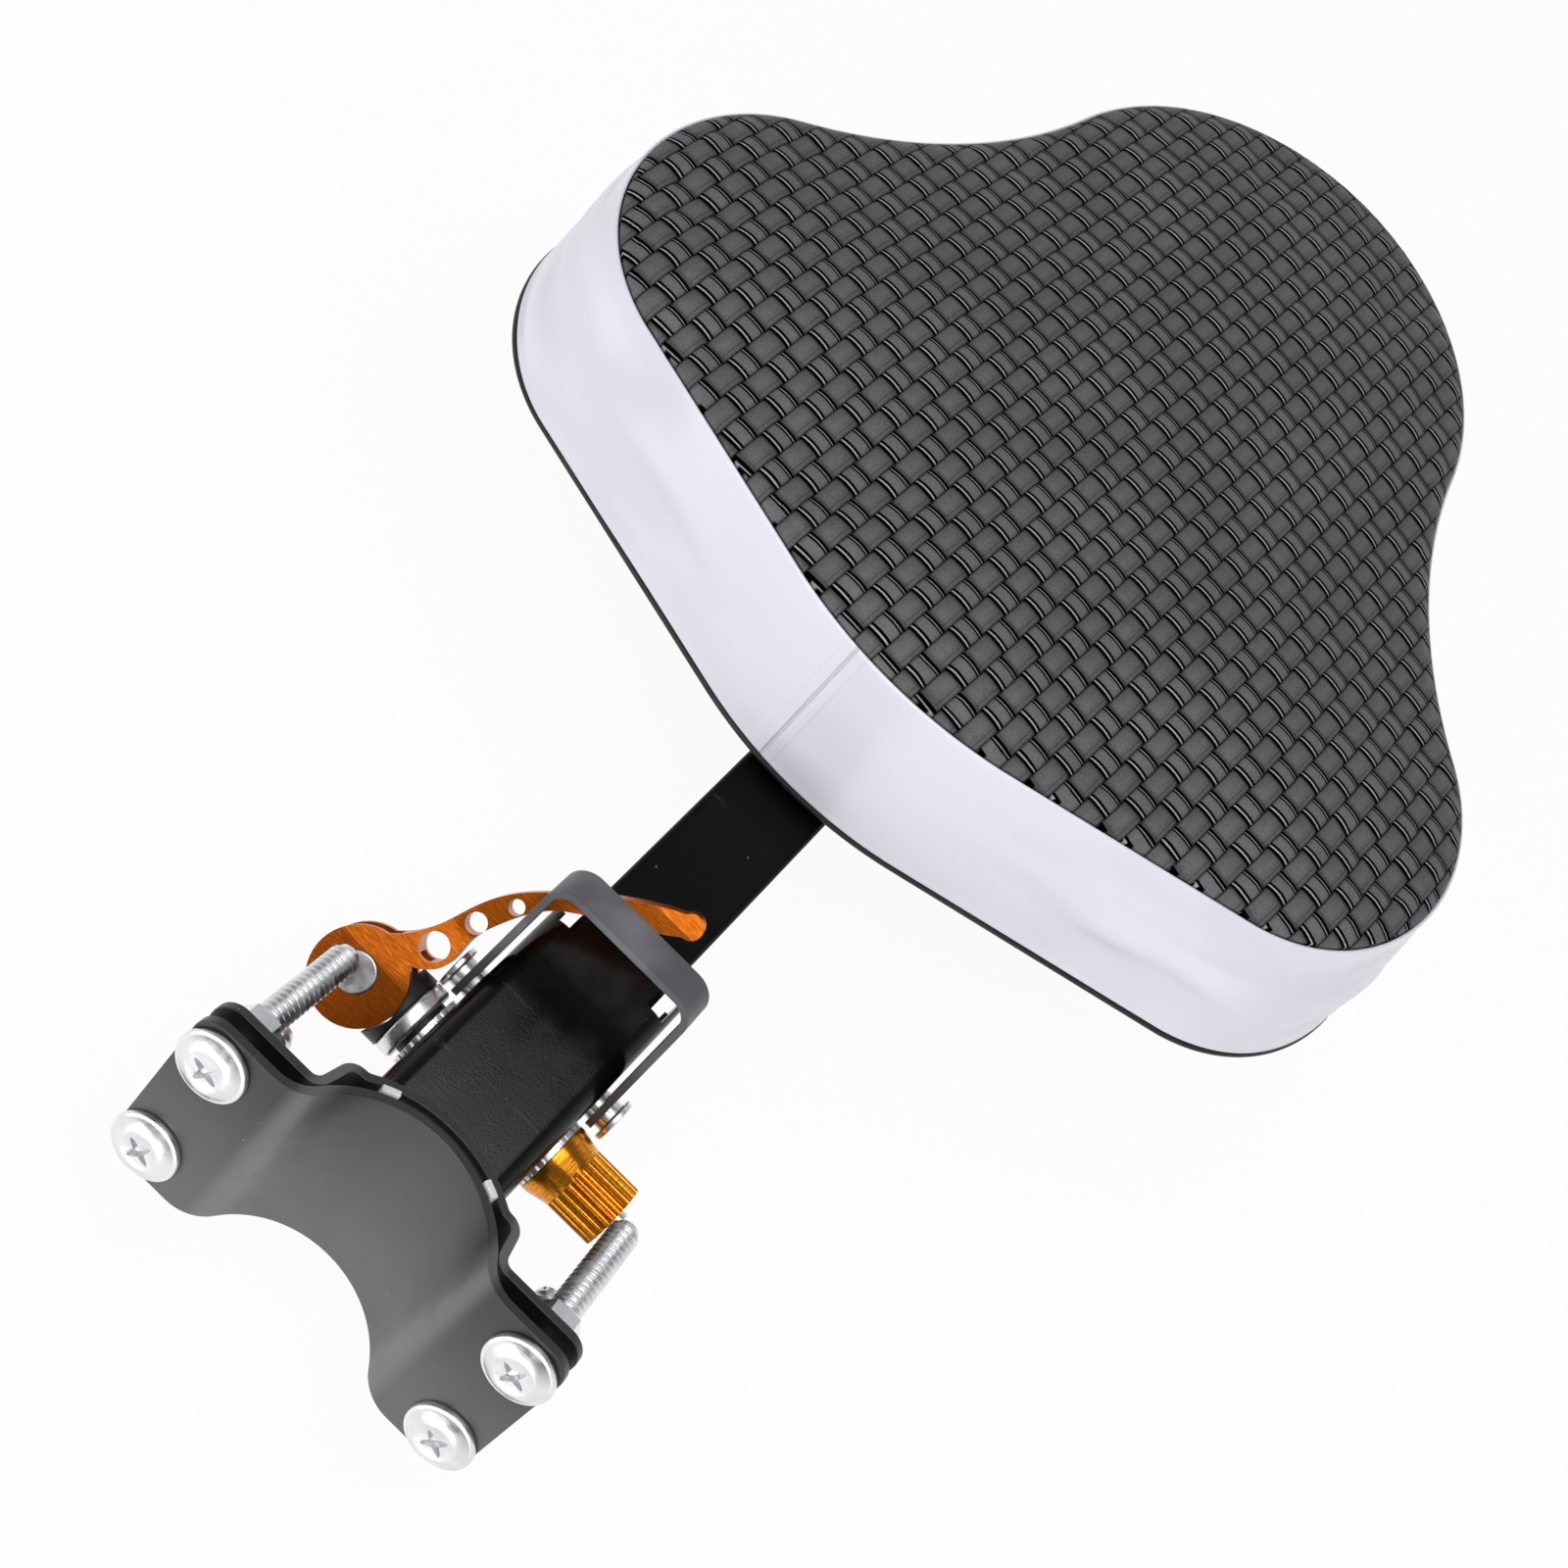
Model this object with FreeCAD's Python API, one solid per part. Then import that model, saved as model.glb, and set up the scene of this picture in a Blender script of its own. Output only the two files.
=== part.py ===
"""Child bike saddle: a padded three-lobed seat on an arm that slides into a clamp-on socket.

The frame stands on the frame tube that the clamp grips: the origin is on that tube's axis, halfway
up the clamp plates. +Z is up with the seat level, +Y runs from the clamp to the seat and +X is the
thumb nut's side. All sizes are in millimetres and degrees.
"""
import FreeCAD
import Part

import math
import os

Vector = FreeCAD.Vector

# Clamp plates, folded from strip, drawn along the tube they grip
TUBE_LEAN = 25.0              # the gripped tube leans this far towards the seat
TUBE_RADIUS = 24.0
PLATE_THICKNESS = 2.0
PLATE_WIDTH = 92.5
PLATE_HEIGHT = 46.0
PLATE_CORNER = 5.0
TROUGH_DEPTH = 17.5           # flange face to the bottom of the trough
FRONT_FOLD = 9.0             # middle radius of the folds beside the trough
FLANGE_GAP = 3.2              # between the two plates' flanges
LINER_THICKNESS = 0.6
LINER_CLEARANCE = 0.13
LINER_COUNT = 2
LINER_HALF_ANGLE = 24.0
LINER_MARGIN = 1.0            # plate edge to liner edge
STRIP_START = 25.0            # pale strips past the liners, as angles from the middle
STRIP_END = 33.0
STRIP_PROUD = 0.8             # strip ends past the plate edges
REAR_ARC_HALF_ANGLE = 37.0
SHOULDER_INNER_RADIUS = 3.0
SHOULDER_OUTER_RADIUS = 3.0
SHOULDER_ANGLE = 80.0
REAR_FOLD = 3.0               # middle radius of the rear plate's outer folds

# Clamp bolts and nuts
BOLT_END_MARGIN = 7.25        # bolt axis from the plate's end
BOLT_EDGE_MARGIN = 8.5        # bolt axis from the plate's upper or lower edge
BOLT_DIAMETER = 6.8
BOLT_LENGTH = 43.0
BOLT_CHAMFER = 0.8
BOLT_HEAD_DIAMETER = 15.4
BOLT_HEAD_RIM = 1.5
BOLT_HEAD_HEIGHT = 3.0
BOLT_HEAD_FLAT = 8.8
RECESS_LENGTH = 6.4
RECESS_WIDTH = 1.6
RECESS_DEPTH = 2.0
BOLT_HOLE = 7.4
NUT_ACROSS_FLATS = 10.0
NUT_HEIGHT = 6.0
NUT_FLANGE_DIAMETER = 13.6
NUT_FLANGE_THICKNESS = 1.3
NUT_BORE_CLEARANCE = 0.05

# Socket welded to the rear plate
SOCKET_WIDTH = 34.0
SOCKET_HEIGHT = 28.0
SOCKET_WALL = 2.0
SOCKET_CORNER = 5.0
SOCKET_END = 94.5
SOCKET_DROP = 6.2             # socket axis below the middle of the trough
SLIT_INNER = 10.4
SLIT_OUTER = 15.6
SLIT_LENGTH = 8.2
WELD_GAP = 0.1

# Arm that slides in the socket
STEM_WIDTH = 24.0
STEM_CORNER = 2.0
STEM_WALL = 1.5
STEM_FIT = 0.3                # above and below the arm
STEM_START = 40.0
STEM_END = 302.0
FORK_CLEARANCE = 0.5

# Quick-release skewer, its washers and its thumb nut
SKEWER_ALONG = 53.7
SKEWER_RISE = 0.0             # skewer above the socket axis
SKEWER_DIAMETER = 5.0
SKEWER_TAIL = 2.0             # skewer past the thumb nut
SKEWER_HOLE = 5.6
BORE_FIT = 0.05               # running fit on a radius
LOCK_WASHER_DIAMETER = 17.0
LOCK_WASHER_THICKNESS = 1.2
LOCK_WASHER_TEETH = 24
LOCK_WASHER_TOOTH = 0.8
SPACER_DIAMETER = 13.0
SPACER_THICKNESS = 1.2
DISC_DIAMETER = 17.8
DISC_THICKNESS = 3.9
DISC_CHAMFER = 0.6
NUT_SEAT_GAP = 0.15
THUMB_COLLAR_DIAMETER = 17.0
THUMB_COLLAR_RIM = 1.2
THUMB_TAPER_LENGTH = 5.0
THUMB_GRIP_DIAMETER = 14.8
THUMB_GRIP_LENGTH = 11.4
KNURL_COUNT = 24
KNURL_DEPTH = 0.55
KNURL_RADIUS = 0.8

# Cam lever on its barrel
LEVER_RISE = 32.0             # the lever's plane rises this far towards the seat
BARREL_OFFSET = 36.0          # barrel axis from the middle plane
BARREL_DIAMETER = 9.0
BARREL_LENGTH = 12.8
CAM_RADIUS = 10.5
CAM_OFFSET_ACROSS = 1.0
CAM_OFFSET_ALONG = -0.4
CAM_SEAT_CLEARANCE = 0.35     # at the bottom of the seat
CAM_SEAT_RADIUS = 12.2
CAM_WASHER_DIAMETER = 18.0
CAM_WASHER_LIP = 2.8          # lips past the bottom of the cam's seat
FORK_THICKNESS = 12.0
FORK_SLOT = 6.2
FORK_SLOT_TOP = 11.5
BLADE_THICKNESS = 6.8
BLADE_TIP_THICKNESS = 10.0
LEVER_EDGE = 0.7
LEVER_OUTER_EDGE = ((-6.4, 7.0), (-1.7, 9.2), (2.3, 13.2), (5.2, 18.5), (8.2, 27.3), (11.6, 33.2),
                    (17.0, 39.0), (28.6, 48.6), (39.4, 55.0))
LEVER_TIP = (43.9, 55.4)
LEVER_INNER_EDGE = ((41.9, 50.9), (38.9, 48.7), (27.6, 41.8), (18.4, 35.0), (14.2, 27.6), (11.9, 19.0),
                    (11.7, 12.6), (9.8, 10.2), (6.6, 8.1))
LEVER_HOLES = ((7.7, 14.4, 6.4), (10.3, 23.6, 4.7), (13.9, 31.6, 3.5))

# Safety bail on its shoulder pins
PIN_ALONG = 67.5
PIN_RISE = 3.0                # pins above the socket axis
PIN_SHANK = 4.6
PIN_SHOULDER = 7.0
PIN_SHOULDER_LENGTH = 4.9
PIN_HEAD_DIAMETER = 10.0
PIN_HEAD_THICKNESS = 1.3
PIN_TAIL_DIAMETER = 6.4
PIN_TAIL_THICKNESS = 0.8
BAIL_STAND = 69.5             # the bail's angle above the arm
BAIL_LENGTH = 42.0            # pin to the outer face of the crossbar
BAIL_THICKNESS = 1.6
BAIL_WIDTH = 9.0
BAIL_FOOT_WIDTH = 40.2        # outer width at the pins
BAIL_TOP_WIDTH = 37.2         # outer width at the crossbar
BAIL_BEND = 5.0               # middle radius of the corners

# Seat
SEAT_NEAR = 149.2             # near edge of the seat top
SEAT_SEAM_HEIGHT = 52.4       # seam above the bottom edge, at the lobes
SEAT_WIDTH = 237.6            # across the two lobes at the seam
NEAR_RADIUS = 110.0
LOBE_ALONG = 211.5
LOBE_RADIUS = 43.3
WAIST_RADIUS = 120.0
NOSE_ALONG = 300.5
NOSE_RADIUS = 64.6
FLARE_NEAR = 2.2              # how far the bottom edge stands out past the seam
FLARE_LOBE = 11.2
FLARE_NOSE = 6.0
BAND_THICKNESS = 1.2
COVER_THICKNESS = 1.6
EDGE_RISE = 2.0               # height of the top panel's near and far edges over the seam
CROWN_RISE = 5.0              # rise of the middle over those edges
WEAVE_PITCH = 6.2
WEAVE_HEIGHT = 0.6
PAD_CLEARANCE = 0.3
TRIM_HEIGHT = 3.0
TRIM_DEPTH = 4.0
TRIM_PROUD = 0.8
TRIM_CHAMFER = 0.8
BOARD_THICKNESS = 8.0
BOARD_INSET = 4.3

# Steel plate between arm and board
SEAT_PLATE_WIDTH = 90.0
SEAT_PLATE_LENGTH = 120.0
SEAT_PLATE_START = 168.0
SEAT_PLATE_THICKNESS = 3.0
SEAT_PLATE_CORNER = 10.0
SEAT_SCREW_SIDE_MARGIN = 12.0  # screw axis from the plate's side
SEAT_SCREW_END_MARGIN = 15.0  # screw axis from the plate's end
SEAT_SCREW_DIAMETER = 6.0
SEAT_SCREW_HEAD = 12.0
SEAT_SCREW_HEAD_HEIGHT = 3.0
SEAT_SCREW_HOLE = 6.6
TEE_NUT_BARREL = 8.0
TEE_NUT_FLANGE = 17.0
TEE_NUT_FLANGE_THICKNESS = 1.2
TEE_NUT_HOLE = 8.2

AXIS_X = Vector(1, 0, 0)
AXIS_Y = Vector(0, 1, 0)
AXIS_Z = Vector(0, 0, 1)
ORIGIN = Vector(0, 0, 0)

# Places that follow from the sizes
front_arc = TUBE_RADIUS + PLATE_THICKNESS / 2
front_flange = front_arc - TROUGH_DEPTH
flange_face = front_flange - PLATE_THICKNESS / 2
liner_stack = LINER_COUNT * LINER_THICKNESS + (LINER_COUNT + 1) * LINER_CLEARANCE
rear_arc = front_arc + PLATE_THICKNESS + liner_stack
rear_flange = front_flange + PLATE_THICKNESS + FLANGE_GAP
rear_back = rear_flange + PLATE_THICKNESS / 2
lean_sine = math.sin(math.radians(TUBE_LEAN))
socket_z = -TUBE_RADIUS * lean_sine - SOCKET_DROP
skewer_z = socket_z + SKEWER_RISE
pin_z = socket_z + PIN_RISE
stem_height = SOCKET_HEIGHT - 2 * SOCKET_WALL - 2 * STEM_FIT
stem_top = socket_z + stem_height / 2
board_bottom = stem_top + SEAT_PLATE_THICKNESS
board_top = board_bottom + BOARD_THICKNESS
socket_side = SOCKET_WIDTH / 2
lobe_across = SEAT_WIDTH / 2 - LOBE_RADIUS


def rounded_rectangle(width, height, radius):
    """A face round the origin in the XY plane, with round corners."""
    sheet = Part.makeBox(width, height, 1, Vector(-width / 2, -height / 2, 0))
    corners = [edge for edge in sheet.Edges if edge.BoundBox.ZLength > 0.5]
    rounded = sheet.makeFillet(radius, corners)
    return [face for face in rounded.Faces if face.BoundBox.ZMax < 0.5][0]


def turned(profile):
    """A solid of revolution about +X from (along, radius) points, closed along the axis."""
    points = [Vector(along, radius, 0) for along, radius in profile]
    face = Part.Face(Part.makePolygon(points + [points[0]]))
    return face.revolve(ORIGIN, AXIS_X, 360)


def rod(diameter, start, end):
    """A cylinder along +X between two places."""
    return Part.makeCylinder(diameter / 2, end - start, Vector(start, 0, 0), AXIS_X)


def ring(outer, bore, start, end):
    """A flat ring about +X between two places."""
    return rod(outer, start, end).cut(rod(bore, start - 1, end + 1))


def moved(shape, place):
    """A copy of a shape moved by a vector."""
    copy = shape.copy()
    copy.translate(place)
    return copy


def folded_strip(start, moves, thickness):
    """A face along a folded strip that sets off along +X.

    Each move is (length,) for a straight run, or (middle radius, angle) for a bend, where a
    positive angle turns towards +Y.
    """
    half = thickness / 2
    place = Vector(*start)
    heading = 0.0
    left_edges = []
    right_edges = []

    def side(point, angle, offset):
        return point + Vector(-math.sin(angle), math.cos(angle), 0) * offset

    for move in moves:
        if len(move) == 1:
            step = Vector(math.cos(heading), math.sin(heading), 0) * move[0]
            for edges, offset in ((left_edges, half), (right_edges, -half)):
                edges.append(Part.makeLine(side(place, heading, offset), side(place + step, heading, offset)))
            place = place + step
            continue
        radius, angle = move[0], math.radians(move[1])
        sign = 1 if angle > 0 else -1
        centre = side(place, heading, sign * radius)
        for edges, offset in ((left_edges, half), (right_edges, -half)):
            reach = -sign * radius + offset
            stations = [side(centre, heading + angle * share, reach) for share in (0, 0.5, 1)]
            edges.append(Part.Arc(*stations).toShape())
        heading += angle
        place = side(centre, heading, -sign * radius)
    first = Part.makeLine(right_edges[0].Vertexes[0].Point, left_edges[0].Vertexes[0].Point)
    last = Part.makeLine(left_edges[-1].Vertexes[-1].Point, right_edges[-1].Vertexes[-1].Point)
    return Part.Face(Part.Wire([first] + left_edges + [last] + right_edges[::-1]))


def clamp_to_frame(shape):
    """Leans a shape drawn about an upright gripped tube to that tube's own angle."""
    copy = shape.copy()
    copy.rotate(ORIGIN, AXIS_X, -TUBE_LEAN)
    return copy


def bolt_places():
    """The four bolt axes in the clamp's own (across, up) coordinates."""
    across = PLATE_WIDTH / 2 - BOLT_END_MARGIN
    up = PLATE_HEIGHT / 2 - BOLT_EDGE_MARGIN
    return [(x, z) for x in (-across, across) for z in (-up, up)]


def clamp_plate(start, moves):
    """A folded clamp plate with four bolt holes and round corners, still upright."""
    strip = folded_strip(start, moves, PLATE_THICKNESS)
    plate = moved(strip, Vector(0, 0, -PLATE_HEIGHT / 2)).extrude(AXIS_Z * PLATE_HEIGHT)
    half = PLATE_WIDTH / 2
    ends = [edge for edge in plate.Edges if abs(abs(edge.CenterOfMass.x) - half) < 1e-4
            and abs(abs(edge.CenterOfMass.z) - PLATE_HEIGHT / 2) < 1e-4]
    plate = plate.makeFillet(PLATE_CORNER, ends)
    for x, z in bolt_places():
        hole = Part.makeCylinder(BOLT_HOLE / 2, 4 * TROUGH_DEPTH, Vector(x, -TROUGH_DEPTH, z), AXIS_Y)
        plate = plate.cut(hole)
    return plate


def front_plate():
    """The plate nearest the bolt heads: flange, fold, trough, fold, flange."""
    sum_radius = front_arc + FRONT_FOLD
    angle = math.degrees(math.acos(1 - TROUGH_DEPTH / sum_radius))
    flange = PLATE_WIDTH / 2 - sum_radius * math.sin(math.radians(angle))
    half = ((flange,), (FRONT_FOLD, angle))
    moves = half + ((front_arc, -2 * angle),) + half[::-1]
    return clamp_plate((-PLATE_WIDTH / 2, front_flange, 0), moves)


def rear_plate():
    """The plate that carries the socket, with a stiffening shoulder beside its trough."""
    arc = math.radians(REAR_ARC_HALF_ANGLE)
    lean = math.radians(SHOULDER_ANGLE)
    inner = rear_arc + SHOULDER_INNER_RADIUS
    bends = REAR_FOLD + SHOULDER_OUTER_RADIUS
    drop = rear_arc - rear_flange - inner * (1 - math.cos(arc))
    wall = (drop - bends * (1 - math.cos(lean))) / math.sin(lean)
    reach = inner * math.sin(arc) + bends * math.sin(lean) + wall * math.cos(lean)
    half = ((PLATE_WIDTH / 2 - reach,), (REAR_FOLD, SHOULDER_ANGLE), (wall,),
            (SHOULDER_OUTER_RADIUS, -SHOULDER_ANGLE), (SHOULDER_INNER_RADIUS, REAR_ARC_HALF_ANGLE))
    moves = half + ((rear_arc, -2 * REAR_ARC_HALF_ANGLE),) + half[::-1]
    return clamp_plate((-PLATE_WIDTH / 2, rear_flange, 0), moves)


def between_troughs(inner, outer, height, start, end):
    """A piece of the gap between the two troughs, between two angles from the middle."""
    foot = Vector(0, 0, -height / 2)
    sector = Part.makeCylinder(outer, height, foot, AXIS_Z, end - start)
    sector = sector.cut(Part.makeCylinder(inner, height, foot, AXIS_Z))
    sector.rotate(ORIGIN, AXIS_Z, 90 + start)
    return sector


def liner(index):
    """One rubber liner between the two troughs, counted from the front plate."""
    inner = TUBE_RADIUS + PLATE_THICKNESS + LINER_CLEARANCE + index * (LINER_THICKNESS + LINER_CLEARANCE)
    height = PLATE_HEIGHT - 2 * LINER_MARGIN
    return between_troughs(inner, inner + LINER_THICKNESS, height, -LINER_HALF_ANGLE, LINER_HALF_ANGLE)


def liner_strips():
    """Two pale strips that fill the gap between the troughs past the liners."""
    inner = TUBE_RADIUS + PLATE_THICKNESS + LINER_CLEARANCE
    outer = inner + liner_stack - 2 * LINER_CLEARANCE
    height = PLATE_HEIGHT + 2 * STRIP_PROUD
    strip = between_troughs(inner, outer, height, STRIP_START, STRIP_END)
    return Part.makeCompound([strip, mirrored(strip)])


def clamp_bolt():
    """One clamp bolt along +X from under its head, with a cross recess."""
    radius = BOLT_DIAMETER / 2
    head = BOLT_HEAD_DIAMETER / 2
    bolt = turned(((-BOLT_HEAD_HEIGHT, 0), (-BOLT_HEAD_HEIGHT, BOLT_HEAD_FLAT / 2), (-BOLT_HEAD_RIM, head),
                   (0, head), (0, radius), (BOLT_LENGTH - BOLT_CHAMFER, radius),
                   (BOLT_LENGTH, radius - BOLT_CHAMFER), (BOLT_LENGTH, 0)))
    for width, height in ((RECESS_LENGTH, RECESS_WIDTH), (RECESS_WIDTH, RECESS_LENGTH)):
        corner = Vector(-BOLT_HEAD_HEIGHT, -width / 2, -height / 2)
        bolt = bolt.cut(Part.makeBox(RECESS_DEPTH, width, height, corner))
    return bolt


def flange_nut():
    """One flange nut along +X from its flange face."""
    radius = NUT_ACROSS_FLATS / math.sqrt(3)
    corners = [Vector(0, radius * math.cos(math.radians(60 * i)), radius * math.sin(math.radians(60 * i)))
               for i in range(7)]
    nut = Part.Face(Part.makePolygon(corners)).extrude(AXIS_X * NUT_HEIGHT)
    nut = nut.fuse(rod(NUT_FLANGE_DIAMETER, 0, NUT_FLANGE_THICKNESS))
    return nut.cut(rod(BOLT_DIAMETER + 2 * NUT_BORE_CLEARANCE, -1, NUT_HEIGHT + 1)).removeSplitter()


def at_bolts(shape, along):
    """Copies of a shape drawn along +X, one on each bolt axis, starting at a depth."""
    copies = []
    for x, z in bolt_places():
        copy = shape.copy()
        copy.rotate(ORIGIN, AXIS_Z, 90)
        copy.translate(Vector(x, along, z))
        copies.append(copy)
    return Part.makeCompound(copies)


def tube(width, height, corner, wall, start, end, centre_z):
    """A rounded rectangular tube along +Y."""
    outer = rounded_rectangle(width, height, corner)
    inner = rounded_rectangle(width - 2 * wall, height - 2 * wall, max(corner - wall, wall / 3))
    solid = outer.cut(inner).extrude(AXIS_Z * (end - start))
    solid.rotate(ORIGIN, AXIS_X, -90)
    solid.translate(Vector(0, start, centre_z))
    return solid


def socket():
    """The socket tube, saddle cut to the rear plate, with two corner slits at its mouth."""
    solid = tube(SOCKET_WIDTH, SOCKET_HEIGHT, SOCKET_CORNER, SOCKET_WALL, 0, SOCKET_END, socket_z)
    saddle = rear_arc + PLATE_THICKNESS / 2 + WELD_GAP
    solid = solid.cut(clamp_to_frame(Part.makeCylinder(saddle, 6 * saddle, AXIS_Z * (-3 * saddle), AXIS_Z)))
    for side in (-1, 1):
        near = min(side * SLIT_INNER, side * SLIT_OUTER)
        corner = Vector(near, SOCKET_END - SLIT_LENGTH, socket_z)
        slit = Part.makeBox(SLIT_OUTER - SLIT_INNER, 2 * SLIT_LENGTH, SOCKET_HEIGHT, corner)
        solid = solid.cut(slit)
    solid = solid.cut(moved(rod(SKEWER_HOLE, -SOCKET_WIDTH, SOCKET_WIDTH), Vector(0, SKEWER_ALONG, skewer_z)))
    return solid.cut(moved(rod(PIN_SHANK, -SOCKET_WIDTH, SOCKET_WIDTH), Vector(0, PIN_ALONG, pin_z)))


def stem():
    """The arm: a rectangular tube with a fork slot that drops over the skewer."""
    solid = tube(STEM_WIDTH, stem_height, STEM_CORNER, STEM_WALL, STEM_START, STEM_END, socket_z)
    slot = SKEWER_DIAMETER + 2 * FORK_CLEARANCE
    mouth = Part.makeBox(2 * STEM_WIDTH, SKEWER_ALONG, slot, Vector(-STEM_WIDTH, 0, skewer_z - slot / 2))
    end = moved(rod(slot, -STEM_WIDTH, STEM_WIDTH), Vector(0, SKEWER_ALONG, skewer_z))
    return solid.cut(mouth.fuse(end))


def on_skewer(shape):
    """Moves a shape drawn about +X onto the skewer's axis."""
    return moved(shape, Vector(0, SKEWER_ALONG, skewer_z))


# Left-hand stack from the socket outwards
left_lock_end = socket_side + LOCK_WASHER_THICKNESS
spacer_end = left_lock_end + SPACER_THICKNESS
disc_end = spacer_end + DISC_THICKNESS
thumb_start = socket_side + LOCK_WASHER_THICKNESS + NUT_SEAT_GAP
thumb_end = thumb_start + THUMB_COLLAR_RIM + THUMB_TAPER_LENGTH + THUMB_GRIP_LENGTH
skewer_bore = SKEWER_DIAMETER + 2 * BORE_FIT


def lock_washer(start):
    """A washer with teeth round its rim, between two places along +X."""
    washer = ring(LOCK_WASHER_DIAMETER, SKEWER_HOLE, start, start + LOCK_WASHER_THICKNESS)
    notch = Part.makeBox(LOCK_WASHER_THICKNESS + 2, 2 * LOCK_WASHER_TOOTH, LOCK_WASHER_TOOTH,
                         Vector(start - 1, LOCK_WASHER_DIAMETER / 2 - LOCK_WASHER_TOOTH, -LOCK_WASHER_TOOTH / 2))
    notches = []
    for i in range(LOCK_WASHER_TEETH):
        copy = notch.copy()
        copy.rotate(ORIGIN, AXIS_X, 360 * i / LOCK_WASHER_TEETH)
        notches.append(copy)
    return washer.cut(Part.makeCompound(notches))


def pressure_disc():
    """The thick zinc disc under the cam washer."""
    radius = DISC_DIAMETER / 2
    disc = turned(((-disc_end, 0), (-disc_end, radius - DISC_CHAMFER), (-disc_end + DISC_CHAMFER, radius),
                   (-spacer_end - DISC_CHAMFER, radius), (-spacer_end, radius - DISC_CHAMFER), (-spacer_end, 0)))
    return disc.cut(rod(SKEWER_HOLE, -disc_end - 1, -spacer_end + 1))


def thumb_nut():
    """The knurled nut: a flared collar towards the socket, then a straight knurled grip."""
    collar = THUMB_COLLAR_DIAMETER / 2
    grip = THUMB_GRIP_DIAMETER / 2
    taper_start = thumb_start + THUMB_COLLAR_RIM
    taper_end = taper_start + THUMB_TAPER_LENGTH
    nut = turned(((thumb_start, 0), (thumb_start, collar), (taper_start, collar), (taper_end, grip),
                  (thumb_end, grip), (thumb_end, 0)))
    nut = nut.cut(rod(skewer_bore, thumb_start - 1, thumb_end + 1))
    groove = Part.makeCylinder(KNURL_RADIUS, THUMB_GRIP_LENGTH + 1,
                               Vector(taper_end, grip + KNURL_RADIUS - KNURL_DEPTH, 0), AXIS_X)
    grooves = []
    for i in range(KNURL_COUNT):
        copy = groove.copy()
        copy.rotate(ORIGIN, AXIS_X, 360 * i / KNURL_COUNT)
        grooves.append(copy)
    return nut.cut(Part.makeCompound(grooves))


def lever_to_frame(shape):
    """Tilts a shape drawn flat about the barrel axis to the lever's plane, on the skewer."""
    copy = shape.copy()
    copy.rotate(ORIGIN, AXIS_X, LEVER_RISE)
    copy.translate(Vector(-BARREL_OFFSET, SKEWER_ALONG, skewer_z))
    return copy


def barrel():
    """The round cross pin that the lever turns on, bored across for the skewer."""
    half = BARREL_LENGTH / 2
    pin = Part.makeCylinder(BARREL_DIAMETER / 2, BARREL_LENGTH, AXIS_Z * -half, AXIS_Z)
    return pin.cut(rod(skewer_bore, -SKEWER_DIAMETER / 2, BARREL_DIAMETER))


def cam_washer():
    """The black cam follower with a hollow seat that the lever's cam turns in."""
    floor = CAM_OFFSET_ACROSS + CAM_RADIUS + CAM_SEAT_CLEARANCE
    back = BARREL_OFFSET - disc_end
    half = CAM_WASHER_DIAMETER / 2
    block = rod(CAM_WASHER_DIAMETER, floor - CAM_WASHER_LIP, back)
    centre = Vector(floor - CAM_SEAT_RADIUS, CAM_OFFSET_ALONG, -half)
    hollow = Part.makeCylinder(CAM_SEAT_RADIUS, CAM_WASHER_DIAMETER, centre, AXIS_Z)
    return block.cut(hollow).cut(rod(SKEWER_HOLE, 0, back + 1))


def lever():
    """The forked cam lever: eccentric cheeks and a curved, pierced blade."""
    outer = Part.BSplineCurve()
    outer.interpolate([Vector(x, y, 0) for x, y in LEVER_OUTER_EDGE])
    inner = Part.BSplineCurve()
    inner.interpolate([Vector(x, y, 0) for x, y in LEVER_INNER_EDGE])
    tip = Part.Arc(Vector(*LEVER_OUTER_EDGE[-1], 0), Vector(*LEVER_TIP, 0), Vector(*LEVER_INNER_EDGE[0], 0))
    close = Part.makeLine(Vector(*LEVER_INNER_EDGE[-1], 0), Vector(*LEVER_OUTER_EDGE[0], 0))
    blade = Part.Face(Part.Wire([outer.toShape(), tip.toShape(), inner.toShape(), close]))
    half = FORK_THICKNESS / 2
    cheek = Part.makeCylinder(CAM_RADIUS, FORK_THICKNESS,
                              Vector(CAM_OFFSET_ACROSS, CAM_OFFSET_ALONG, -half), AXIS_Z)
    solid = moved(blade, AXIS_Z * -half).extrude(AXIS_Z * FORK_THICKNESS).fuse(cheek).removeSplitter()
    return solid.common(lever_side()).cut(lever_openings())


def lever_side():
    """The lever's outline seen from its side: full at the fork, thin at the neck, wide at the tip."""
    fork = FORK_THICKNESS / 2
    neck = BLADE_THICKNESS / 2
    tip = BLADE_TIP_THICKNESS / 2
    neck_start = LEVER_HOLES[0][1] + LEVER_HOLES[0][2]
    neck_end = LEVER_HOLES[-1][1] + 2 * LEVER_HOLES[-1][2]
    far = LEVER_TIP[1] + 2 * LEVER_EDGE
    low = -2 * CAM_RADIUS
    profile = ((low, fork), (BARREL_DIAMETER / 2, fork), (neck_start, neck), (neck_end, neck),
               (far - tip, tip), (far, tip - LEVER_EDGE))
    upper = [Vector(0, along, half) for along, half in profile]
    lower = [Vector(0, along, -half) for along, half in profile]
    reach = LEVER_TIP[0] + 2 * CAM_RADIUS
    face = Part.Face(Part.makePolygon(upper + lower[::-1] + [upper[0]]))
    return moved(face, AXIS_X * -(2 * CAM_RADIUS)).extrude(AXIS_X * (reach + 2 * CAM_RADIUS))


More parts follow.
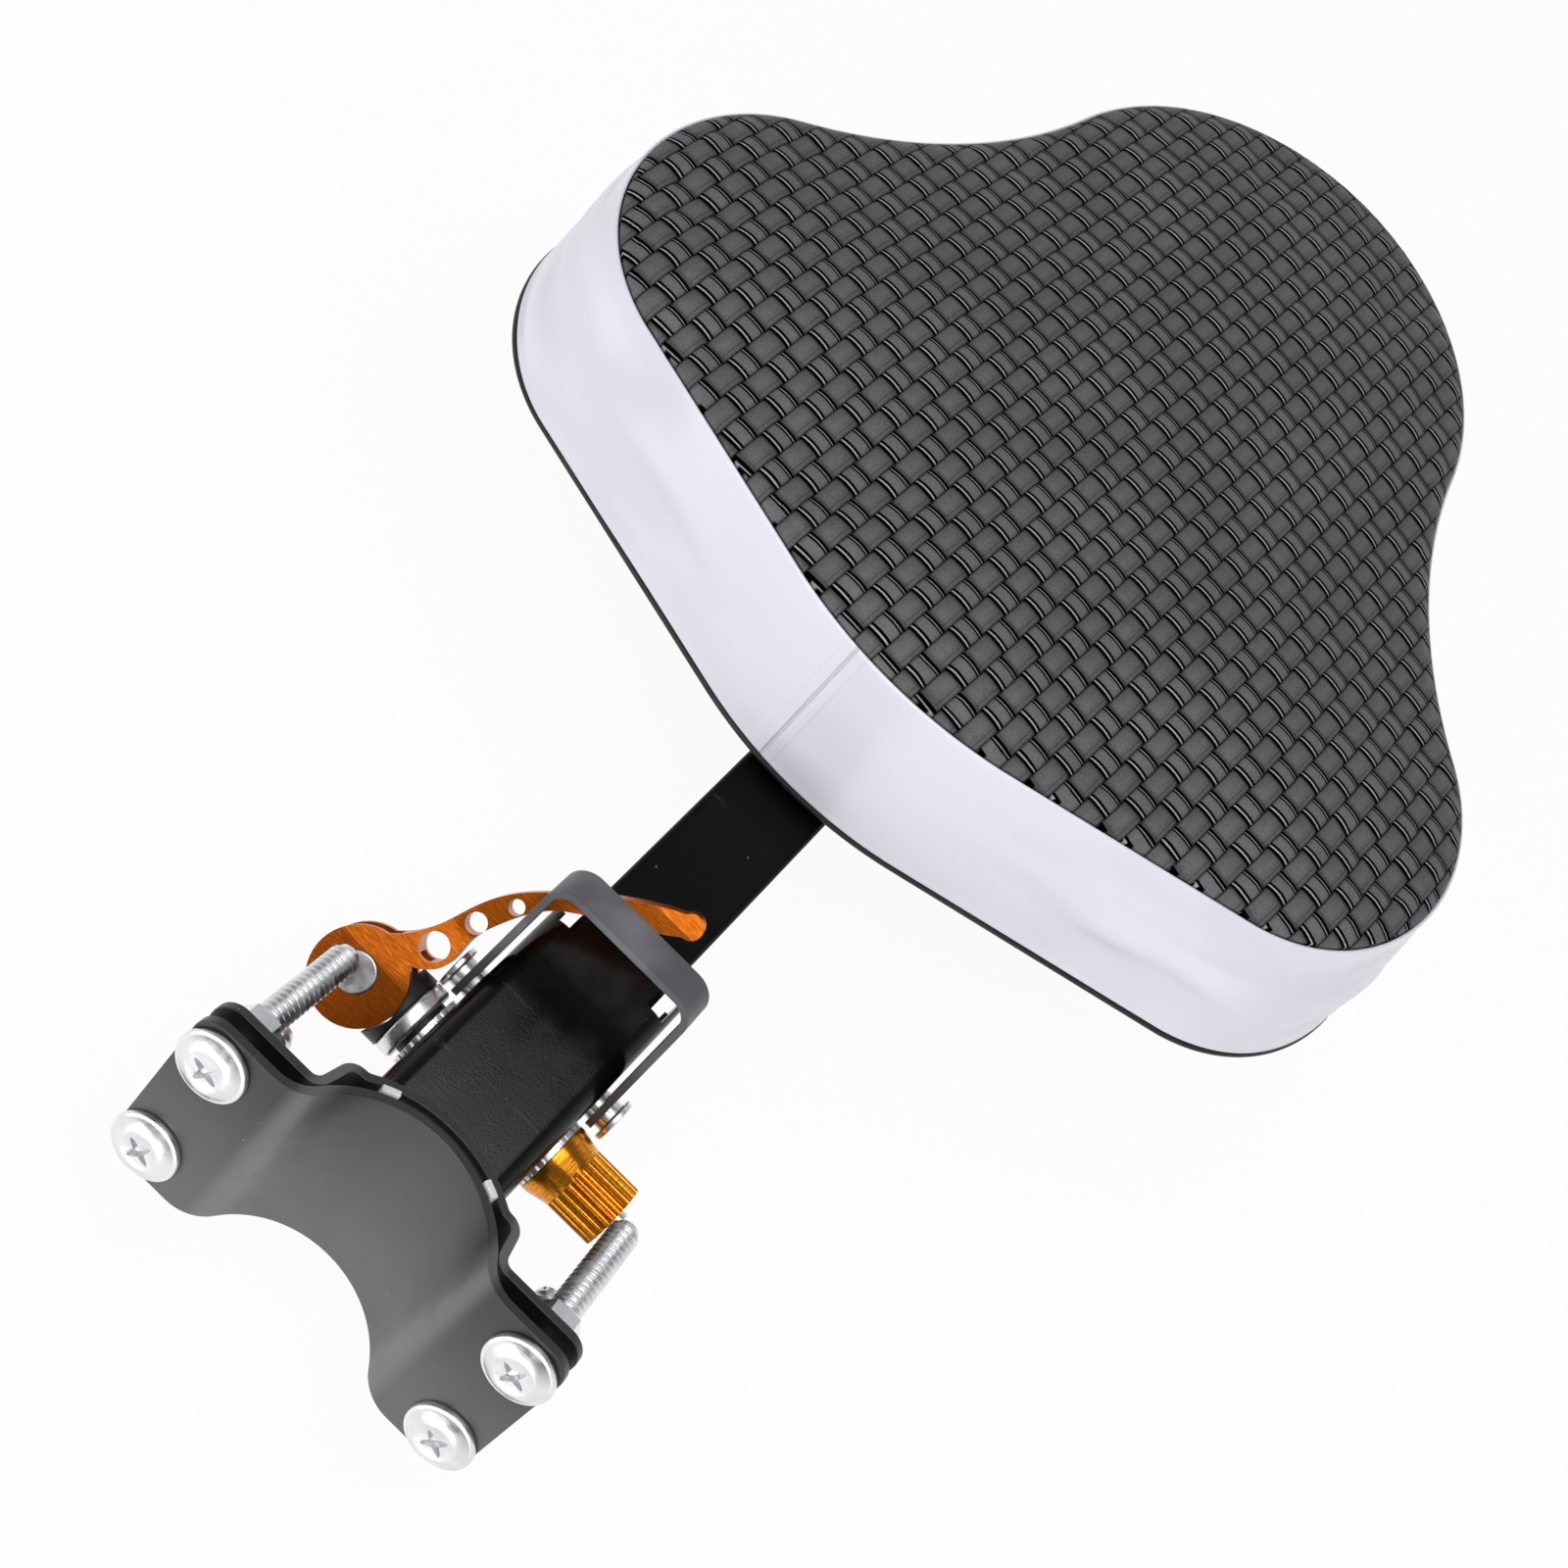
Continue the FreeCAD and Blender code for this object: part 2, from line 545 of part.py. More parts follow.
def lever_openings():
    """The lever's fork slot, barrel bore and lightening holes."""
    span = 4 * CAM_RADIUS
    low = FORK_SLOT_TOP - span
    slot = Part.makeBox(span, span, FORK_SLOT, Vector(-span / 2, low, -FORK_SLOT / 2))
    bore = Part.makeCylinder(BARREL_DIAMETER / 2 + BORE_FIT, span, AXIS_Z * (-span / 2), AXIS_Z)
    cuts = [slot, bore]
    for x, y, diameter in LEVER_HOLES:
        cuts.append(Part.makeCylinder(diameter / 2, span, Vector(x, y, -span / 2), AXIS_Z))
    return Part.makeCompound(cuts)


def shoulder_pin():
    """The right-hand shoulder pin along +X: riveted tail, shank, shoulder and head."""
    inside = socket_side - SOCKET_WALL
    shoulder_end = socket_side + PIN_SHOULDER_LENGTH
    head_end = shoulder_end + PIN_HEAD_THICKNESS
    pin = turned(((inside - PIN_TAIL_THICKNESS, 0), (inside - PIN_TAIL_THICKNESS, PIN_TAIL_DIAMETER / 2),
                  (inside, PIN_TAIL_DIAMETER / 2), (inside, PIN_SHANK / 2), (socket_side, PIN_SHANK / 2),
                  (socket_side, PIN_SHOULDER / 2), (shoulder_end, PIN_SHOULDER / 2),
                  (shoulder_end, PIN_HEAD_DIAMETER / 2), (head_end, PIN_HEAD_DIAMETER / 2), (head_end, 0)))
    return moved(pin, Vector(0, PIN_ALONG, pin_z))


def mirrored(shape):
    """The shape's mirror image across the middle plane."""
    return shape.mirror(ORIGIN, AXIS_X)


def bail():
    """The U-shaped strap on the shoulder pins, drawn standing along +Y and then tilted."""
    half_foot = (BAIL_FOOT_WIDTH - BAIL_THICKNESS) / 2
    half_top = (BAIL_TOP_WIDTH - BAIL_THICKNESS) / 2
    crossbar = BAIL_LENGTH - BAIL_THICKNESS / 2
    splay = math.degrees(math.atan2(half_foot - half_top, crossbar))
    corner = 90 - splay
    setback = BAIL_BEND * math.tan(math.radians(corner / 2))
    leg = math.hypot(half_foot - half_top, crossbar) - setback
    foot = BAIL_WIDTH / 2
    moves = ((leg + foot,), (BAIL_BEND, -corner), (2 * (half_top - setback),), (BAIL_BEND, -corner), (leg + foot,))
    strip = folded_strip((0, 0, 0), moves, BAIL_THICKNESS)
    strip.rotate(ORIGIN, AXIS_Z, corner)
    slope = math.radians(splay)
    strip.translate(Vector(-half_foot - foot * math.sin(slope), -foot * math.cos(slope), 0))
    strap = moved(strip, AXIS_Z * (-BAIL_WIDTH / 2)).extrude(AXIS_Z * BAIL_WIDTH)
    strap = strap.common(rod(BAIL_WIDTH, -BAIL_FOOT_WIDTH, BAIL_FOOT_WIDTH).fuse(
        Part.makeBox(2 * BAIL_FOOT_WIDTH, 2 * BAIL_LENGTH, BAIL_WIDTH, Vector(-BAIL_FOOT_WIDTH, 0, -BAIL_WIDTH / 2))))
    strap = strap.cut(rod(PIN_SHOULDER + 2 * BORE_FIT, -BAIL_FOOT_WIDTH, BAIL_FOOT_WIDTH))
    strap.rotate(ORIGIN, AXIS_X, BAIL_STAND)
    return moved(strap, Vector(0, PIN_ALONG, pin_z))


def seat_outline(share, inset, height):
    """The seat's outline as a closed wire of six arcs and two straight flanks, all tangent.

    share is 0 at the bottom edge and 1 at the top seam, and inset moves the line inwards.
    """
    flare = 1 - share
    near = SEAT_NEAR - FLARE_NEAR * flare
    near_r = NEAR_RADIUS - inset
    lobe_r = LOBE_RADIUS - inset
    nose_r = NOSE_RADIUS + FLARE_NOSE * flare - inset
    waist_r = WAIST_RADIUS + inset
    near_centre = Vector(0, near + NEAR_RADIUS, height)
    lobe = Vector(lobe_across + FLARE_LOBE * flare, LOBE_ALONG, height)
    step = lobe - near_centre
    swing = math.acos((near_r - lobe_r) / step.Length)
    heading = math.atan2(step.y, step.x) - swing
    outwards = Vector(math.cos(heading), math.sin(heading), 0)
    nose = Vector(0, NOSE_ALONG, height)
    gap = nose - lobe
    base = gap.Length
    along = ((lobe_r + waist_r) ** 2 - (nose_r + waist_r) ** 2 + base ** 2) / (2 * base)
    aside = math.sqrt((lobe_r + waist_r) ** 2 - along ** 2)
    unit = gap * (1 / base)
    waist = lobe + unit * along + Vector(unit.y, -unit.x, 0) * aside

    def towards(centre, target, radius):
        return centre + (target - centre) * (radius / (target - centre).Length)

    flank_start = near_centre + outwards * near_r
    near_end = lobe + outwards * lobe_r
    lobe_end = towards(lobe, waist, lobe_r)
    nose_start = towards(nose, waist, nose_r)
    lobe_mid = towards(lobe, (near_end + lobe_end) * 0.5 + (lobe - waist) * 0.001, lobe_r)
    waist_mid = towards(waist, (lobe_end + nose_start) * 0.5, waist_r)

    def across(point):
        return Vector(-point.x, point.y, point.z)

    near_mid = Vector(0, near + inset, height)
    nose_mid = Vector(0, NOSE_ALONG + nose_r, height)
    arcs = (Part.Arc(across(flank_start), near_mid, flank_start), Part.LineSegment(flank_start, near_end),
            Part.Arc(near_end, lobe_mid, lobe_end), Part.Arc(lobe_end, waist_mid, nose_start),
            Part.Arc(nose_start, nose_mid, across(nose_start)),
            Part.Arc(across(nose_start), across(waist_mid), across(lobe_end)),
            Part.Arc(across(lobe_end), across(lobe_mid), across(near_end)),
            Part.LineSegment(across(near_end), across(flank_start)))
    return Part.Wire([arc.toShape() for arc in arcs])


trim_top = board_bottom + TRIM_HEIGHT
seam_z = board_bottom + SEAT_SEAM_HEIGHT
seat_far = NOSE_ALONG + NOSE_RADIUS
pad_roof = seam_z + EDGE_RISE + CROWN_RISE + 2 * WEAVE_HEIGHT


def pad_block(inset, bottom):
    """The seat's tapering block from a height up past the crown, inset from the outer skin."""
    def wire(height):
        share = (height - board_bottom) / SEAT_SEAM_HEIGHT
        return seat_outline(share, inset, height)

    return Part.makeLoft([wire(bottom), wire(pad_roof)], True, True)


def crown_line(drop):
    """The crown along the seat's middle plane as an arc, lowered by a distance."""
    edge = seam_z + EDGE_RISE - drop
    overhang = FLARE_NOSE + 2 * WEAVE_PITCH
    slope = math.atan2(2 * CROWN_RISE, (seat_far - SEAT_NEAR) / 2)
    radius = (seat_far - SEAT_NEAR) / 2 / math.sin(slope)
    middle = Vector(0, (SEAT_NEAR + seat_far) / 2, edge + CROWN_RISE)
    reach = (seat_far - SEAT_NEAR) / 2 + overhang
    fall = radius - math.sqrt(radius ** 2 - reach ** 2)
    return Part.Arc(middle + Vector(0, -reach, -fall), middle, middle + Vector(0, reach, -fall))


def under_lines(arc):
    """Three lines that close an arc of the crown below the seat."""
    first, last = arc.StartPoint, arc.EndPoint
    floor = AXIS_Z * -(SEAT_SEAM_HEIGHT + BOARD_THICKNESS)
    return [Part.makeLine(last, last + floor), Part.makeLine(last + floor, first + floor),
            Part.makeLine(first + floor, first)]


def across_seat(edges):
    """Draws a closed outline in the middle plane out to both sides of the seat."""
    half = SEAT_WIDTH / 2 + 2 * FLARE_LOBE
    return moved(Part.Face(Part.Wire(edges)), AXIS_X * -half).extrude(AXIS_X * (2 * half))


def under_crown(drop):
    """Everything of the seat below the crown, lowered by a distance."""
    arc = crown_line(drop)
    return across_seat([arc.toShape()] + under_lines(arc))


def woven_crown():
    """Everything of the seat below the woven face, whose ridges run across the seat."""
    arc = crown_line(0)
    curve = arc.toShape()
    stations = curve.discretize(int(curve.Length / WEAVE_PITCH) + 1)
    edges = []
    for start, end in zip(stations, stations[1:]):
        top = (start + end) * 0.5 + AXIS_Z * WEAVE_HEIGHT
        edges.append(Part.Arc(start, top, end).toShape())
    return across_seat(edges + under_lines(arc))


def top_cover():
    """The woven top panel: a shallow lid with a crowned face, standing on the band."""
    lid = pad_block(0, seam_z).common(woven_crown())
    return lid.cut(pad_block(COVER_THICKNESS, seam_z - COVER_THICKNESS).common(under_crown(COVER_THICKNESS)))


def side_band():
    """The pale band between the top panel and the bottom edge."""
    wall = pad_block(0, trim_top).cut(pad_block(BAND_THICKNESS, trim_top))
    above = Part.makeBox(2 * SEAT_WIDTH, 2 * NOSE_ALONG, SEAT_SEAM_HEIGHT, Vector(-SEAT_WIDTH, 0, seam_z))
    return wall.cut(above)


def foam_pad():
    """The foam block inside the cover."""
    bottom = board_top + TEE_NUT_FLANGE_THICKNESS + PAD_CLEARANCE
    block = pad_block(COVER_THICKNESS + PAD_CLEARANCE, bottom)
    return block.common(under_crown(COVER_THICKNESS + PAD_CLEARANCE))


def rim_trim():
    """The black edging round the bottom of the seat, with its outer edges broken."""
    block = Part.Face(seat_outline(0, -TRIM_PROUD, board_bottom)).extrude(AXIS_Z * TRIM_HEIGHT)
    rims = [edge for edge in block.Edges if edge.BoundBox.ZLength < 1e-3]
    block = block.makeChamfer(TRIM_CHAMFER, rims)
    return block.cut(Part.Face(seat_outline(0, TRIM_DEPTH, board_bottom)).extrude(AXIS_Z * TRIM_HEIGHT))


def seat_screw_places():
    """The four seat screw axes as (x, y)."""
    across = SEAT_PLATE_WIDTH / 2 - SEAT_SCREW_SIDE_MARGIN
    middle = SEAT_PLATE_START + SEAT_PLATE_LENGTH / 2
    half = SEAT_PLATE_LENGTH / 2 - SEAT_SCREW_END_MARGIN
    return [(x, middle + y) for x in (-across, across) for y in (-half, half)]


def drilled(shape, diameter):
    """A shape with the four seat screw holes through it."""
    for x, y in seat_screw_places():
        shape = shape.cut(Part.makeCylinder(diameter / 2, 4 * BOARD_THICKNESS,
                                            Vector(x, y, board_bottom - 2 * BOARD_THICKNESS), AXIS_Z))
    return shape


def seat_plate():
    """The steel plate welded on the arm under the board."""
    outline = rounded_rectangle(SEAT_PLATE_WIDTH, SEAT_PLATE_LENGTH, SEAT_PLATE_CORNER)
    plate = outline.extrude(AXIS_Z * SEAT_PLATE_THICKNESS)
    plate.translate(Vector(0, SEAT_PLATE_START + SEAT_PLATE_LENGTH / 2, stem_top))
    return drilled(plate, SEAT_SCREW_HOLE)


def seat_board():
    """The board that the pad is built on."""
    board = Part.Face(seat_outline(0, BOARD_INSET, board_bottom)).extrude(AXIS_Z * BOARD_THICKNESS)
    return drilled(board, TEE_NUT_HOLE)


def seat_screws():
    """Four pan-head screws from under the plate up into the board."""
    screw_end = stem_top + SEAT_PLATE_THICKNESS + BOARD_THICKNESS
    screws = []
    for x, y in seat_screw_places():
        shank = Part.makeCylinder(SEAT_SCREW_DIAMETER / 2, screw_end - stem_top, Vector(x, y, stem_top), AXIS_Z)
        head_start = Vector(x, y, stem_top - SEAT_SCREW_HEAD_HEIGHT)
        head = Part.makeCone(SEAT_SCREW_HEAD / 2 - SEAT_SCREW_HEAD_HEIGHT / 2, SEAT_SCREW_HEAD / 2,
                             SEAT_SCREW_HEAD_HEIGHT, head_start, AXIS_Z)
        screws.append(shank.fuse(head).removeSplitter())
    return Part.makeCompound(screws)


def tee_nuts():
    """Four tee nuts let into the board from above."""
    bore = SEAT_SCREW_DIAMETER + 2 * NUT_BORE_CLEARANCE
    nuts = []
    for x, y in seat_screw_places():
        barrel_part = Part.makeCylinder(TEE_NUT_BARREL / 2, BOARD_THICKNESS, Vector(x, y, board_bottom), AXIS_Z)
        flange = Part.makeCylinder(TEE_NUT_FLANGE / 2, TEE_NUT_FLANGE_THICKNESS, Vector(x, y, board_top), AXIS_Z)
        hole = Part.makeCylinder(bore / 2, 2 * BOARD_THICKNESS, Vector(x, y, board_bottom - 1), AXIS_Z)
        nuts.append(barrel_part.fuse(flange).cut(hole).removeSplitter())
    return Part.makeCompound(nuts)


def build():
    """All pieces by node name."""
    right_lock = socket_side
    return {
        "front_clamp_plate": clamp_to_frame(front_plate()),
        "rear_clamp_plate": clamp_to_frame(rear_plate()),
        "front_liner": clamp_to_frame(liner(0)),
        "rear_liner": clamp_to_frame(liner(1)),
        "liner_strips": clamp_to_frame(liner_strips()),
        "clamp_bolts": clamp_to_frame(at_bolts(clamp_bolt(), flange_face)),
        "clamp_nuts": clamp_to_frame(at_bolts(flange_nut(), rear_back)),
        "socket_tube": socket(),
        "stem_tube": stem(),
        "skewer": on_skewer(rod(SKEWER_DIAMETER, -BARREL_OFFSET - SKEWER_DIAMETER / 2, thumb_end + SKEWER_TAIL)),
        "lever_barrel": lever_to_frame(barrel()),
        "cam_lever": lever_to_frame(lever()),
        "cam_washer": lever_to_frame(cam_washer()),
        "pressure_disc": on_skewer(pressure_disc()),
        "spacer_washer": on_skewer(ring(SPACER_DIAMETER, SKEWER_HOLE, -spacer_end, -left_lock_end)),
        "lever_lock_washer": on_skewer(lock_washer(-left_lock_end)),
        "nut_lock_washer": on_skewer(lock_washer(right_lock)),
        "thumb_nut": on_skewer(thumb_nut()),
        "left_bail_pin": mirrored(shoulder_pin()),
        "right_bail_pin": shoulder_pin(),
        "safety_bail": bail(),
        "seat_plate": seat_plate(),
        "seat_screws": seat_screws(),
        "tee_nuts": tee_nuts(),
        "seat_board": seat_board(),
        "foam_pad": foam_pad(),
        "top_cover": top_cover(),
        "side_band": side_band(),
        "rim_trim": rim_trim(),
    }


os.makedirs("parts", exist_ok=True)
for node, shape in build().items():
    shape.exportStep(os.path.join("parts", node + ".step"))
    box = shape.BoundBox
    print(node, len(shape.Solids), shape.isValid(), round(shape.Volume), [round(v, 1) for v in (
        box.XMin, box.XMax, box.YMin, box.YMax, box.ZMin, box.ZMax)])
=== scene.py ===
"""Looks of a child bike saddle: a padded three-lobed seat on an arm in a clamp-on socket.

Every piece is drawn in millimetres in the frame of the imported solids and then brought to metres.
+Z is up with the seat level, +Y runs from the clamp to the seat and +X is the thumb nut's side.
"""

import logging
import math
from dataclasses import dataclass, field
from enum import Enum
from typing import Callable, Sequence

import bmesh
import bpy
import numpy as np
from mathutils import Matrix, Vector, noise
from mathutils.bvhtree import BVHTree


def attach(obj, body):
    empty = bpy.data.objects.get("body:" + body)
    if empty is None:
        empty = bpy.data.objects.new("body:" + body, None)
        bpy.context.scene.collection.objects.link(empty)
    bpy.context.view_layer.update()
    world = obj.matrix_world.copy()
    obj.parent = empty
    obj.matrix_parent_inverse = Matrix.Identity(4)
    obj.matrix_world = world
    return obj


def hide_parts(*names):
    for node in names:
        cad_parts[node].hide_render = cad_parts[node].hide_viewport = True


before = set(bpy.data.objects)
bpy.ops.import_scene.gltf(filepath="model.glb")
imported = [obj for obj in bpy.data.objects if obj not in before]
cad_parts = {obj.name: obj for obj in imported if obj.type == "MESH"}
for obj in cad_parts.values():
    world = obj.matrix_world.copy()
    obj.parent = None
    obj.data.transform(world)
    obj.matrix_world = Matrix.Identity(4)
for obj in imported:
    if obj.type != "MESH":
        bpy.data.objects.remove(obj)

LOG = logging.getLogger("child_bike_saddle")
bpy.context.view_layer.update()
MM = 0.001
Colour = tuple[float, float, float]
Stretch = tuple[float, float, float]
Range = tuple[float, float]
Stops = tuple[tuple[float, float], ...]
Profile = tuple[tuple[float, float], ...]
TURNED_WELD = 1e-4


class Body(Enum):
    """The bodies that pieces ride on."""

    CLAMP = "clamp"
    LEVER = "lever"
    NUT = "nut"
    BAIL = "bail"
    SEAT = "seat"


class Look(Enum):
    """The looks of the pieces, each with the record's material slot that it belongs to."""

    PLATE_PAINT = ("plate_paint", "black_paint")
    TUBE_PAINT = ("tube_paint", "black_paint")
    ARM_PAINT = ("arm_paint", "black_paint")
    STRAP_PAINT = ("strap_paint", "grey_paint")
    LINER_RUBBER = ("liner_rubber", "black_rubber")
    LINER_STRIP = ("liner_strip", "white_strip")
    ZINC = ("zinc", "bright_zinc")
    LEVER_DYE = ("lever_dye", "orange_anodised")
    NUT_DYE = ("nut_dye", "amber_anodised")
    BLACK_PLASTIC = ("plastic", "black_plastic")
    PLYWOOD = ("plywood", "plywood")
    FOAM = ("foam", "foam")
    WEAVE = ("weave", "charcoal_weave")
    VINYL = ("vinyl", "pale_vinyl")

    @property
    def slot(self) -> str:
        """The material slot's name."""
        return self.value[1]


class Grain(Enum):
    """The way a brushed surface was drawn, as a stretch of its lines."""

    ACROSS = (1.0, 14.0, 14.0)
    TURNED = (14.0, 1.0, 1.0)


class Crease(Enum):
    """The angle between faces, in degrees, past which an edge is sharp."""

    MACHINED = 32.0
    FOLDED = 40.0
    SEWN = 60.0
    WOVEN = 80.0


# Node sheets


@dataclass(frozen=True)
class Mottle:
    """A cloudy pattern: features per metre, octaves, and the noise at which it sets in and is full."""

    scale: float
    detail: float
    start: float
    end: float
    stretch: Stretch | None = None


@dataclass(frozen=True)
class Grit:
    """A fine relief: features per metre, octaves, depth in metres and how strongly it shows."""

    scale: float
    detail: float
    depth: float
    strength: float
    stretch: Stretch | None = None


class NodeSheet:
    """A node tree being laid out: adds nodes, feeds their sockets and does sums."""

    def __init__(self, tree: bpy.types.NodeTree) -> None:
        """Starts on an emptied tree.

        Args:
            tree: the node tree.
        """
        self.tree = tree
        self.tree.nodes.clear()

    def add(self, kind: str, **settings: object) -> bpy.types.Node:
        """Adds a node.

        Args:
            kind: the node's type name.
            settings: properties to set on it.

        Returns:
            The node.
        """
        node = self.tree.nodes.new(kind)
        for key, value in settings.items():
            setattr(node, key, value)
        return node

    def feed(self, socket: bpy.types.NodeSocket, value: object) -> None:
        """Links an output into a socket, or sets a plain value on it.

        Args:
            socket: the input to feed.
            value: an output socket, a number or a colour.
        """
        if isinstance(value, bpy.types.NodeSocket):
            self.tree.links.new(value, socket)
        elif socket.type == "RGBA":
            socket.default_value = (*value, 1.0)
        else:
            socket.default_value = value

    def feed_all(self, sockets: Sequence[bpy.types.NodeSocket], values: Sequence[object]) -> None:
        """Feeds a node's sockets in their order."""
        for socket, value in zip(sockets, values):
            self.feed(socket, value)

    def calc(self, operation: str, first: object, second: object = 0.5) -> bpy.types.NodeSocket:
        """Adds a math node.

        Args:
            operation: its operation.
            first: its first value.
            second: its second value.

        Returns:
            Its output.
        """
        node = self.add("ShaderNodeMath", operation=operation)
        self.feed_all(node.inputs, (first, second))
        return node.outputs[0]

    def times(self, first: object, second: object) -> bpy.types.NodeSocket:
        """The product of two values."""
        return self.calc("MULTIPLY", first, second)

    def apart(self, first: object, second: object) -> bpy.types.NodeSocket:
        """How far two values are from each other."""
        return self.calc("ABSOLUTE", self.calc("SUBTRACT", first, second))

    def split(self, vector: bpy.types.NodeSocket, name: str) -> bpy.types.NodeSocket:
        """One part of a vector.

        Args:
            vector: the vector.
            name: X, Y or Z.

        Returns:
            The part.
        """
        node = self.add("ShaderNodeSeparateXYZ")
        self.feed(node.inputs[0], vector)
        return node.outputs[name]

    def step(self, value: object, start: float, end: float, low: float = 0.0,
             high: float = 1.0) -> bpy.types.NodeSocket:
        """A smooth step.

        Args:
            value: what is stepped.
            start: where the step begins.
            end: where it ends.
            low: the result before it.
            high: the result after it.

        Returns:
            The stepped value.
        """
        node = self.add("ShaderNodeMapRange", interpolation_type="SMOOTHSTEP")
        self.feed_all(node.inputs, (value, start, end, low, high))
        return node.outputs[0]


class ShaderSheet(NodeSheet):
    """A material being laid out round its surface shader, on object coordinates."""

    def __init__(self, name: str) -> None:
        """Starts a material with a surface shader.

        Args:
            name: the material's name.
        """
        self.material = bpy.data.materials.new(name)
        self.material.use_nodes = True
        super().__init__(self.material.node_tree)
        self.shader = self.add("ShaderNodeBsdfPrincipled")
        output = self.add("ShaderNodeOutputMaterial")
        self.feed(output.inputs[0], self.shader.outputs[0])
        self.place = self.add("ShaderNodeTexCoord").outputs["Object"]

    def surface(self, **values: object) -> None:
        """Feeds the surface shader's sockets, whose spaces are written as underscores.

        Args:
            values: socket names and what goes into them.
        """
        for key, value in values.items():
            self.feed(self.shader.inputs[key.replace("_", " ")], value)

    def axis(self, name: str) -> bpy.types.NodeSocket:
        """One object coordinate, X, Y or Z."""
        return self.split(self.place, name)

    def mapped(self, entry: str, values: Sequence[float]) -> bpy.types.NodeSocket:
        """Object coordinates through a mapping.

        Args:
            entry: the mapping's socket, Rotation or Scale.
            values: what goes into it.

        Returns:
            The mapped coordinates.
        """
        node = self.add("ShaderNodeMapping")
        self.feed(node.inputs["Vector"], self.place)
        self.feed(node.inputs[entry], values)
        return node.outputs[0]

    def turned(self, angle: float) -> bpy.types.NodeSocket:
        """Object coordinates on axes turned about Z by an angle in degrees."""
        return self.mapped("Rotation", (0.0, 0.0, -math.radians(angle)))

    def cloud(self, scale: float, detail: float, stretch: Stretch | None = None) -> bpy.types.NodeSocket:
        """A noise value.

        Args:
            scale: features per metre.
            detail: octaves.
            stretch: factors for the three coordinates.

        Returns:
            The noise, from 0 to 1.
        """
        place = self.mapped("Scale", stretch) if stretch else self.place
        node = self.add("ShaderNodeTexNoise")
        for name, value in (("Vector", place), ("Scale", scale), ("Detail", detail)):
            self.feed(node.inputs[name], value)
        return node.outputs[0]

    def mottled(self, mottle: Mottle, low: float = 0.0, high: float = 1.0) -> bpy.types.NodeSocket:
        """A cloudy pattern.

        Args:
            mottle: the pattern.
            low: the result before it sets in.
            high: the result where it is full.

        Returns:
            The pattern's value.
        """
        value = self.cloud(mottle.scale, mottle.detail, mottle.stretch)
        return self.step(value, mottle.start, mottle.end, low, high)

    def cells(self, scale: float) -> bpy.types.NodeSocket:
        """Distance to the nearest of scattered points.

        Args:
            scale: points per metre.

        Returns:
            The distance.
        """
        node = self.add("ShaderNodeTexVoronoi")
        self.feed(node.inputs["Vector"], self.place)
        self.feed(node.inputs["Scale"], scale)
        return node.outputs["Distance"]

    def ramp(self, value: object, stops: Stops) -> bpy.types.NodeSocket:
        """A grey ramp.

        Args:
            value: what is looked up.
            stops: places and greys.

        Returns:
            The grey as a colour.
        """
        node = self.add("ShaderNodeValToRGB")
        self.feed(node.inputs[0], value)
        elements = node.color_ramp.elements
        while len(elements) < len(stops):
            elements.new(0.5)
        for element, (place, grey) in zip(elements, stops):
            element.position = place
            element.color = (grey, grey, grey, 1.0)
        return node.outputs[0]

    def blend(self, share: object, first: object, second: object, mode: str = "MIX") -> bpy.types.NodeSocket:
        """Mixes two colours.

        Args:
            share: how much of the second.
            first: the first colour.
            second: the second colour.
            mode: how they combine.

        Returns:
            The mixed colour.
        """
        node = self.add("ShaderNodeMix", data_type="RGBA", blend_type=mode)
        self.feed_all((node.inputs[0], node.inputs[6], node.inputs[7]), (share, first, second))
        return node.outputs[2]

    def relief(self, height: object, depth: float, strength: float = 1.0,
               under: object = None) -> bpy.types.NodeSocket:
        """Bends the normal by a height.

        Args:
            height: the height, from 0 to 1.
            depth: what 1 is, in metres.
            strength: how strongly it shows.
            under: a normal to start from.

        Returns:
            The normal.
        """
        node = self.add("ShaderNodeBump")
        for name, value in (("Strength", strength), ("Distance", depth), ("Height", height)):
            self.feed(node.inputs[name], value)
        if under is not None:
            self.feed(node.inputs["Normal"], under)
        return node.outputs[0]

    def gritty(self, grit: Grit, under: object = None) -> bpy.types.NodeSocket:
        """Bends the normal by a fine relief.

        Args:
            grit: the relief.
            under: a normal to start from.

        Returns:
            The normal.
        """
        height = self.cloud(grit.scale, grit.detail, grit.stretch)
        return self.relief(height, grit.depth, grit.strength, under)


# Finishes


